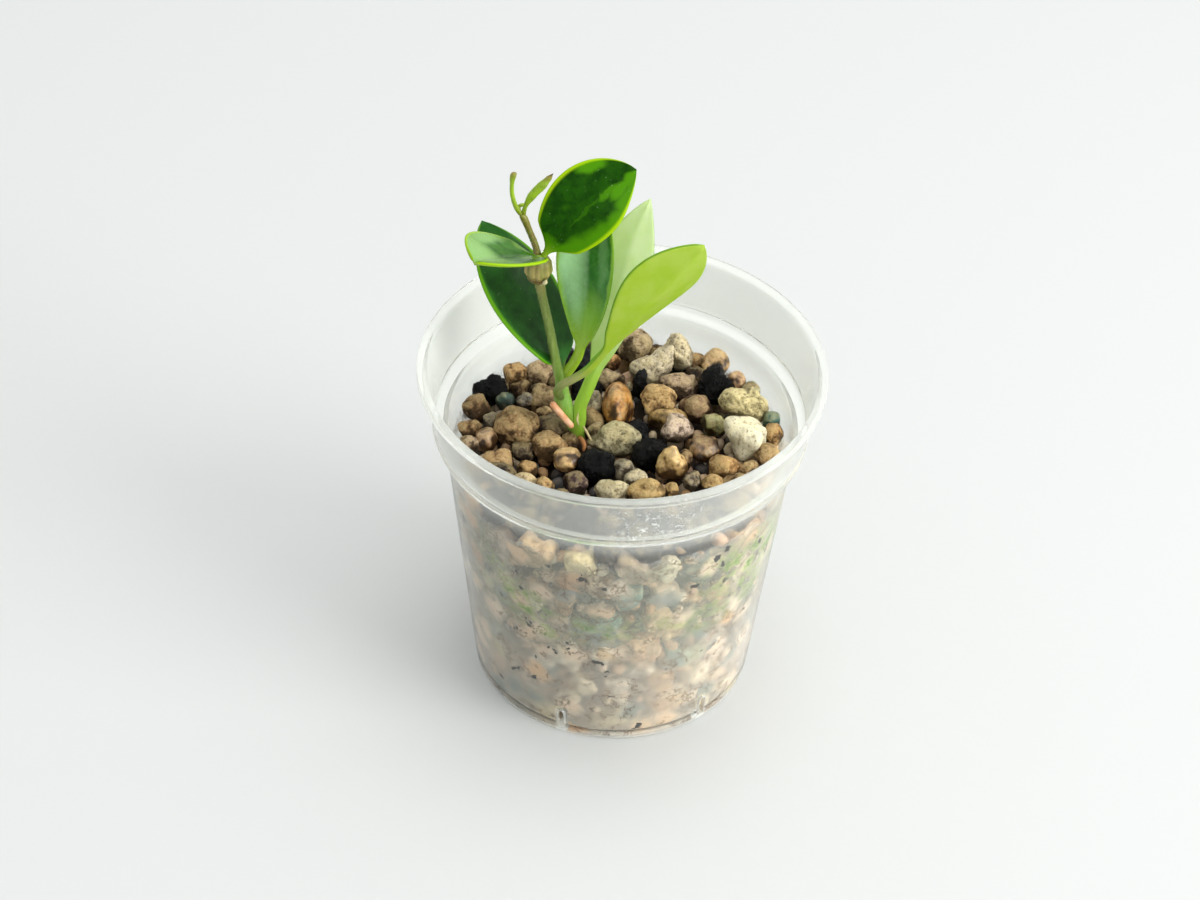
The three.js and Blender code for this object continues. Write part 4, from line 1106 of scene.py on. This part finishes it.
hair_look = plain_growth("pale hairs", "aab272", "c4ca92", "98a05e", 0.7, 0.01)
hair_tree = hair_recipe(hair_look)
for name, bare, seed in (("stem_hairs", stem, 4), ("shoot_hairs", shoot, 9)):
    points = [tuple(point.co / MM) for point in bare.data.vertices]
    faces = [tuple(face.vertices) for face in bare.data.polygons]
    hairs = grown(piece_from(name, points, faces), hair_tree, Seed=seed)
    in_pieces(hairs, hair_look, "stem_green")

# ------------------------------------------------------------------ roots and dry bits
# Brown wiry roots spread down from the crown. At the foot of the stem a short dry root
# end shows, and a dead straw fibre stands beside it.

CROWN = (-8, 1.8, 50)
CROWN_STUMP = [(-8.1, 1.9, 50.2), (-8, 1.8, 48.4), (-7.9, 1.7, 46.6)]
ROOT_SEED = 77
ROOT_COUNT = 4
# How far the longest root goes sideways and down, and the share of that which the shortest does
ROOT_REACH = 13
ROOT_DEPTH = 30
ROOT_SHORTEST = 0.6
DRY_ROOT = [(-8.1, 1.2, 55.2), (-7.9, 0.1, 56.4), (-7.5, -0.9, 56.9), (-7, -1.9, 56.5), (-7.2, -2.6, 55.2)]
STRAW = [(-7.3, -0.45, 60.1), (-6.6, -0.8, 58.9), (-6, -1.2, 57.8), (-5.4, -1.55, 56.8)]
DRY_SCALE = [(-8.4, 0.55, 62.6), (-8.55, 0.4, 61), (-8.2, 0.35, 59.4)]

draw = draws(ROOT_SEED)
roots = [stalk(CROWN_STUMP, (0.9, 1.3, 0.8), 20)]
for i in range(ROOT_COUNT):
    around = 2 * math.pi * (i + 0.5 * next(draw)) / ROOT_COUNT
    reach = ROOT_REACH * (ROOT_SHORTEST + (1 - ROOT_SHORTEST) * next(draw))
    depth = ROOT_DEPTH * (ROOT_SHORTEST + (1 - ROOT_SHORTEST) * next(draw))
    knots = []
    for out, down in ((0, 0), (0.35, 0.2), (0.6, 0.5), (0.85, 0.75), (1, 1)):
        x, y, z = CROWN
        turn = around + down
        aside = (x + out * reach * math.cos(turn), y + out * reach * math.sin(turn))
        knots.append((*aside, z - 2 - down * depth))
    roots.append(stalk(knots, (0.6, 0.55, 0.5, 0.4, 0.35), 40, 10))
root_finish = plain_growth("dry brown root", "8a5a30", "a8713f", "5b3a1e", 0.75, 0.1)
in_pieces(joined("roots", *roots), root_finish, "root_brown", "roots")
dry_root = joined("dry_root_end", stalk(DRY_ROOT, (0.6, 0.5, 0.44, 0.42, 0.3), 30, 12))
in_pieces(dry_root, root_finish, "root_brown")
straw = joined(
    "dead_straw",
    stalk(STRAW, (0.2, 0.26, 0.24, 0.1), 20, 8, 0, 0.5),
    stalk(DRY_SCALE, (0.1, 0.2, 0.08), 16, 8, 0, 0.4),
)
in_pieces(straw, plain_growth("dead straw", "b5a478", "cdbd92", "8a7748", 0.7, 0.05), "root_brown")

# ------------------------------------------------------------------ leaves
# Thick waxy leaves, 0.7 mm at the margin and 1.1 mm at the midrib. Their upper sides are
# dark and glossy with paler splashes and flecks, their undersides pale and matt, and
# light shines through the thin ones.

# Rows and columns of points, closer together towards the tip and the margins
PETIOLE_ROWS = 8
BLADE_ROWS = 60
BLADE_COLUMNS = 25
CLOSER_TO_TIP = 1.25
CLOSER_TO_MARGIN = 1.5
BLADE_THICKNESS = 0.68
MIDRIB_THICKNESS = 1.15
# In shares of the length, where the blade has taken over from the petiole and how short its
# drawn-out point is, and half the width of the very tip in millimetres
BLADE_START = 0.16
TIP_POINT = 0.03
TIP_HALF_WIDTH = 0.14
# In shares of the half width, where the edge begins to round off and over how much, and
# where the coloured margin begins
EDGE_ROUND_FROM = 0.9
EDGE_ROUND = 0.1
MARGIN = 0.93
# Ten side veins on each side, in radians along the blade
VEIN_WAVES = 62.8

# Slot, petiole's points and radius, midrib's Bezier points, the way the upper side faces
# at base and tip, width, fold in degrees, curl, and the powers of base and tip
LEAVES = {
    "leaf_top_right": (
        "leaf_upper", [(-16.2, 2.1, 98.6)], 0.6,
        [(-15.6, 2.3, 100.1), (-9, 5.2, 108.4), (-7, 9.6, 110), (1.2, 13.1, 112.7)],
        [(0, -0.76, 0.65), (0, -0.74, 0.68)], 15.2, 12, 0.2, 0.6, 0.65,
    ),
    "leaf_top_left": (
        "leaf_upper", [(-16.6, 1.9, 98.4)], 0.6,
        [(-16.4, 0.6, 100.5), (-22, -3.7, 103.5), (-24.7, -9, 107), (-27.7, -14.5, 110.5)],
        [(0.2, 0.4, 0.9), (0.37, 0.33, 0.87)], 16.2, 19, -0.2, 0.56, 0.58,
    ),
    "leaf_back_left": (
        "leaf_upper", [(-12.1, 2.9, 69)], 0.75,
        [(-12, 4.2, 70.3), (-12.6, 7.4, 76.7), (-24.5, 11, 86.9), (-28.1, 15.3, 97.9)],
        [(0.5, 0, 0.86), (0.55, -0.65, 0.52)], 18, 7, 0.1, 0.72, 0.75,
    ),
    "leaf_centre": (
        "leaf_upper", [(-12.1, 2.5, 69.2), (-10.9, 2.8, 71), (-9.8, 2.9, 72.9)], 1.05,
        [(-8.9, 3, 74.8), (-5.1, 4.6, 87.7), (-9.8, 8.7, 98.4), (-5.5, 13.2, 106.2)],
        [(-0.19, -0.84, 0.51), (-0.06, -0.86, 0.51)], 14.3, 37, -0.1, 1, 0.6,
    ),
    "leaf_right": (
        "leaf_underside",
        [(-11.5, 1.7, 65.4), (-12.6, 0.3, 68), (-11.8, -0.4, 70.4),
         (-9.8, -0.6, 72.1), (-7.9, -0.6, 73.6), (-6.4, -0.6, 75.2)], 0.85,
        [(-5.1, -0.6, 77.1), (5.2, -2.3, 94), (6.3, -2.9, 96.9), (14.1, -2.7, 107.4)],
        [(-0.55, 0.81, 0.22), (-0.21, 0.96, 0.19)], 16.1, 11, 0.2, 1.05, 0.73,
    ),
    "leaf_back_right": (
        "leaf_underside", [(-8.1, 1.2, 54.6), (-8.4, 1.5, 57), (-8.1, 1.7, 60.2), (-8.05, 2.1, 63.2)], 1.3,
        [(-7.2, 2.5, 65.8), (0.1, 8, 84.4), (-2, 11.8, 90.6), (4.2, 16.1, 103.9)],
        [(0.14, 0.99, -0.1), (0.11, 0.99, -0.1)], 10.8, 4, 0, 1.18, 0.85,
    ),
}


def leaf_shape(name, petiole, radius, midrib, faces, width, fold, curl, base, tip):
    """A petiole and its blade in one skin, marked with places along and across the blade."""
    stem_share = np.linspace(0, 1, PETIOLE_ROWS * len(petiole), endpoint=False)
    blade_share = 1 - (1 - np.linspace(0, 1, BLADE_ROWS)) ** CLOSER_TO_TIP
    foot, foot_way = smooth_path([*petiole, midrib[0]], stem_share)
    t = blade_share[:, None]
    a, b, c, d = (np.array(point) for point in midrib)
    rib = (1 - t) ** 3 * a + 3 * t * (1 - t) ** 2 * b + 3 * t * t * (1 - t) * c + t**3 * d
    rib_way = (1 - t) ** 2 * (b - a) + 2 * t * (1 - t) * (c - b) + t * t * (d - c)
    centre = np.vstack([foot, rib])
    along = unit(np.vstack([foot_way, rib_way]))
    share = np.concatenate([0 * stem_share, blade_share])[:, None]
    facing = (1 - share) * np.array(faces[0]) + share * np.array(faces[1])
    facing = unit(facing - np.sum(facing * along, axis=1, keepdims=True) * along)
    side = np.cross(along, facing)
    widest = base / (base + tip)
    shape = share**base * (1 - share) ** tip / (widest**base * (1 - widest) ** tip)
    shape *= ((1 - share) / (1 - share + TIP_POINT)) ** (1 - tip)
    half = np.maximum(width / 2 * shape, np.where(share < 0.5, radius, TIP_HALF_WIDTH))
    spread = np.linspace(-1, 1, BLADE_COLUMNS)
    spread = np.sign(spread) * (1 - (1 - np.abs(spread)) ** CLOSER_TO_MARGIN)
    s = np.concatenate([spread, -spread])[None, :]
    face = np.repeat([1, -1], BLADE_COLUMNS)[None, :]
    slope = math.radians(fold)
    thick = MIDRIB_THICKNESS + (BLADE_THICKNESS - MIDRIB_THICKNESS) * np.minimum(1, 2 * np.abs(s))
    outer = ((np.abs(s) - EDGE_ROUND_FROM) / EDGE_ROUND).clip(0, 1)
    thick = thick * np.sqrt(np.clip(1 - outer**2, 0.02, 1))
    lift = half * np.abs(s) * math.sin(slope) + curl * half / (width / 2) * s * s
    lift = lift + face * thick * np.minimum(1, half / 1.2) / 2 / math.cos(slope)
    flat = half[..., None] * s[..., None] * math.cos(slope) * side[:, None]
    flat = flat + lift[..., None] * facing[:, None]
    turn = 2 * np.pi * (np.arange(s.size) + 0.5) / s.size - np.pi / 2
    round_off = facing[:, None] * np.cos(turn)[:, None] + side[:, None] * np.sin(turn)[:, None]
    ease = np.clip(share / BLADE_START, 0, 1)
    ease = (ease * ease * (3 - 2 * ease))[..., None]
    piece = piece_from(name, *skin(centre[:, None] + (1 - ease) * radius * round_off + ease * flat))
    down = np.concatenate([stem_share - 1, blade_share])
    # Each with its values at the two middle points that close the skin
    marks = {
        "along": (np.repeat(down, s.size), -1, 1),
        "across": (np.repeat(s, len(down), axis=0), 0, 0),
        "upper": (np.repeat(face, len(down), axis=0), 1, 1),
    }
    for label, (values, first, last) in marks.items():
        mark(piece, label, np.append(np.ravel(values), (first, last)))
    piece.data.shade_smooth()
    return piece


# Each leaf's colours: dark and light green, splashes and margin on top, two tones and the
# margin underneath, the petiole, and what light through the blade looks like
LEAF_COLOURS = {
    "leaf_top_right": "0f3802 1c4c03 4a8a04 a5cc0c 8fae45 a3c154 6d9a1e 8ab026 4c8012",
    "leaf_top_left": "265c04 3d7712 7eaa3a a6d014 8fae45 a3c154 9cc41a 8ab026 74a034",
    "leaf_back_left": "123a0c 1d4a12 35742a 62a010 84a548 9ab85a 4a7a22 7d9a3a 407025",
    "leaf_centre": "2f7a20 449030 8fc83c 96cc34 84a548 9ab85a 4a7a22 a8cc38 6aa43e",
    "leaf_right": "6aa53a 7db84a 8cc45a a8d050 c8e246 d6ea62 4c7f14 c4b485 9ecc48",
    # The back right leaf's near-white undersides are partly its own pale green and partly painted light
    # shining through it
    "leaf_back_right": "b2d868 c2e47c c8e888 b8dc60 eef8c4 f8fddc 5f9026 9cc83a d6ed9c",
}
# Where along the leaf the petiole's colour turns into the blade's, the roughness and shine of
# the wax, the share of light that comes through, and how clear the veins are
LEAF_WAX = {
    "leaf_top_right": ((-0.02, 0.1), 0.32, 0.06, 0.2, 0.03),
    "leaf_top_left": ((-0.02, 0.1), 0.26, 0.12, 0.2, 0.1),
    "leaf_back_left": ((-0.02, 0.1), 0.34, 0.12, 0.12, 0.06),
    "leaf_centre": ((0, 0.3), 0.26, 0.5, 0.22, 0.1),
    "leaf_right": ((-0.55, -0.05), 0.4, 0.25, 0.5, 0.1),
    "leaf_back_right": ((0.02, 0.42), 0.36, 0.3, 0.5, 0.06),
}
# Patches of paler green, and of whitish painted sheen that stands for the reflection of the bright room:
# place along and across the blade, reach each way, and strength
SPLASHES = {
    "leaf_top_right": [
        (0.04, 0, 0.08, 1.6, 0.8), (0.1, 0.8, 0.22, 0.5, 1), (0.33, 1.0, 0.22, 0.5, 1),
        (0.55, 1.05, 0.24, 0.4, 1), (0.82, 0.95, 0.22, 0.5, 1), (0.8, 0.36, 0.13, 0.24, 1),
        (0.7, 0.16, 0.12, 0.12, 0.8), (0.93, 0.4, 0.08, 0.5, 1), (0.72, -0.86, 0.12, 0.32, 1),
        (0.45, 0.1, 0.2, 0.05, 0.25),
    ],
    "leaf_top_left": [
        (0.88, 0.3, 0.3, 1.3, 0.8), (0.1, 0.6, 0.1, 0.3, 0.6), (0.22, -0.45, 0.2, 0.35, 0.5),
        (0.5, 0.9, 0.3, 0.35, 0.7),
    ],
    "leaf_back_left": [
        (0.93, 0, 0.2, 1.2, 0.8), (0.5, -1.0, 0.6, 0.2, 0.5), (0.08, 0, 0.1, 1.3, 0.6),
    ],
    "leaf_centre": [
        (0.02, 0.1, 0.38, 1.6, 1), (0.4, -0.98, 0.7, 0.2, 0.8), (0.5, 0.98, 0.5, 0.12, 0.8),
    ],
}
PAINTED_SHEEN = {
    "leaf_top_left": [(0.85, 0.35, 0.3, 0.8, 0.3), (0.5, 0.75, 0.24, 0.3, 0.25)],
    "leaf_centre": [
        (0.66, -0.45, 0.44, 0.5, 1), (0.62, -0.12, 0.3, 0.12, 0.6), (0.7, 0.6, 0.3, 0.2, 0.25),
    ],
}


def leaf_finish(name):
    """A waxy leaf, its two sides apart, with light coming through the blade."""
    colours = LEAF_COLOURS[name].split()
    dark, body, splash, margin, under, under_light, under_margin, petiole, through = colours
    greens, roughness, shine, let_through, veins = LEAF_WAX[name]
    finish = Finish(name + " surface")
    along, across, upper = (finish.carry(part) for part in ("along", "across", "upper"))
    edge = across.size()
    wander = finish.cloud(0.32, 3, 0.6) - 0.5
    drift = finish.cloud(0.32, 3, 0.6, (31, 7, 12)) - 0.5

    def patched(patches, spots, core):
        """Soft patches with ragged rims, whole out to the core of each."""
        for place, beside, reach, spread, strength in spots:
            far = (along + wander * 0.08 - place) / reach
            aside = (across + drift * 0.3 - beside) / spread
            patches = patches.most((far * far + aside * aside).step(1.45, core) * strength)
        return patches

    splashed = patched(finish.cloud(0.18, 2).step(0.58, 0.75) * 0.2, SPLASHES.get(name, ()), 0.25)
    sheen_painted = patched(finish.cloud(0.18, 2).step(0.8, 0.9), PAINTED_SHEEN.get(name, ()), 0)
    side_veins = ((along - edge * 0.16 + wander * 0.03) * VEIN_WAVES).wave() * edge.step(0.95, 0.5)
    faint = side_veins.step(0.8, 1.0) * veins
    midrib = edge.step(0.05, 0.01) * veins
    top = finish.mix(finish.cloud(0.4, 4, 0.6).step(0.35, 0.65), dark, body)
    top = finish.mix(splashed, top, splash)
    # Whitish painted sheen, for the reflection of the bright room
    top = finish.mix(sheen_painted, top, "c0f4b4")
    top = finish.mix(faint.most(midrib), top, splash)
    flecks = finish.cells(1.1).step(0.1, 0.04) * finish.cloud(0.3, 2, 0.5, (5, 5, 5)).step(0.45, 0.6)
    top = finish.mix(flecks * 0.5, top, "c3dcae")
    top = finish.mix(edge.step(MARGIN - 0.07, MARGIN + 0.03) * 0.9, top, margin)
    low = finish.mix(finish.cloud(0.25, 3, 0.5, (4, 4, 9)).step(0.35, 0.65), under, under_light)
    low = finish.mix(faint, low, under_light)
    low = finish.mix(edge.step(0.955, 0.99) * 0.8, low, under_margin)
    blade = finish.mix(upper.step(-0.5, 0.5), low, top)
    streaks = finish.cloud(1.3, 3, stretch=(1, 1, 0.3)).step(0.45, 0.7) * 0.3
    stalk_green = finish.mix(streaks, petiole, "7c8a3a")
    joint = finish.mix(along.step(-0.5, -0.9) * 0.7, stalk_green, "3f5a1c")
    wax = finish.relief(finish.cloud(2.2, 3) * 0.5 + faint * -2 + finish.cloud(0.3) * 2, 0.03)
    outside = finish.surface({
        "Base Color": finish.mix(along.step(*greens), joint, blade),
        "Roughness": finish.cloud(0.6, 3).step(0.3, 0.7) * 0.1 + (roughness - 0.05),
        "Specular IOR Level": shine,
        "Normal": wax,
    })
    shone_through = finish.node("ShaderNodeBsdfTranslucent", {"Color": through, "Normal": wax})
    return finish.show(finish.node("ShaderNodeMixShader", [let_through, outside, shone_through]))


for name, (slot, *shape) in LEAVES.items():
    in_pieces(leaf_shape(name + "_blade", *shape), leaf_finish(name), slot, name)

# ------------------------------------------------------------------ camera, floor and light
# The pot stands on a floor painted a pale grey, in a white room. Broad soft light falls on
# it from the right, and more comes from above.

AIM = (-3.845, 0, 53.536)
CAMERA_HEIGHT_ANGLE = 41.473
CAMERA_ROLL = 1.974
CAMERA_DISTANCE = 518.925
LENS = 78
SENSOR_WIDTH = 36
FLOOR_HALF = 2500
ROOM_LIGHT = 0.85
LIT_POINT = (0, 0, 50)


def look():
    """Sets up the camera, turned about its own axis by the roll."""
    tilt, roll = math.radians(CAMERA_HEIGHT_ANGLE), math.radians(CAMERA_ROLL)
    back = Vector((0, -math.cos(tilt), math.sin(tilt)))
    right, up = Vector((1, 0, 0)), Vector((0, math.sin(tilt), math.cos(tilt)))
    cos, sin = math.cos(roll), math.sin(roll)
    right, up = right * cos + up * sin, up * cos - right * sin
    camera = bpy.data.objects.new("camera", bpy.data.cameras.new("camera"))
    camera.data.lens = LENS
    camera.data.sensor_width = SENSOR_WIDTH
    turn = Matrix((right, up, back)).transposed().to_4x4()
    camera.matrix_world = Matrix.Translation((Vector(AIM) + back * CAMERA_DISTANCE) * MM) @ turn
    bpy.context.scene.collection.objects.link(camera)
    bpy.context.scene.camera = camera


look()

corners = [(x * FLOOR_HALF, y * FLOOR_HALF, 0) for x, y in ((-1, -1), (1, -1), (1, 1), (-1, 1))]
floor = piece_from("floor", corners, [(0, 1, 2, 3)])
painted = Finish("painted floor")
paintwork = painted.surface({"Base Color": "cacccb", "Roughness": 0.8})
floor.data.materials.append(painted.show(paintwork))
floor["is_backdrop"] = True

world = bpy.data.worlds.new("white room")
world.use_nodes = True
world.node_tree.nodes.clear()
room = Tree(world.node_tree)
right, away, up = room.parts(room.node("ShaderNodeTexCoord", output="Generated"))
brightness = right * 0.1 + away * 0.06 + up * 0.08 + ROOM_LIGHT
white = room.node("ShaderNodeBackground", {"Color": (0.98, 0.99, 0.985, 1), "Strength": brightness})
room.node("ShaderNodeOutputWorld", {"Surface": white})
bpy.context.scene.world = world


def lamp(name, place, size, power, colour=(1, 1, 1)):
    """A round lamp that points at the pot, its place and size in millimetres."""
    light = bpy.data.lights.new(name, "AREA")
    light.shape = "DISK"
    light.size = size * MM
    light.energy = power
    light.color = colour
    holder = bpy.data.objects.new(name, light)
    holder.location = Vector(place) * MM
    holder.rotation_mode = "QUATERNION"
    way = Vector(LIT_POINT) * MM - holder.location
    holder.rotation_quaternion = way.to_track_quat("-Z", "Y")
    bpy.context.scene.collection.objects.link(holder)


lamp("window", (1080, -480, 520), 800, 13.5, (1.0, 0.99, 0.98))
lamp("skylight", (150, 120, 1150), 1000, 5.0)
bpy.context.scene.view_settings.view_transform = "Standard"

# ------------------------------------------------------------------ sizes
# The box of the part as it was packed and the box of all that shows here are gathered side by side.

corners = {"cad": cad_box, "shown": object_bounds()}
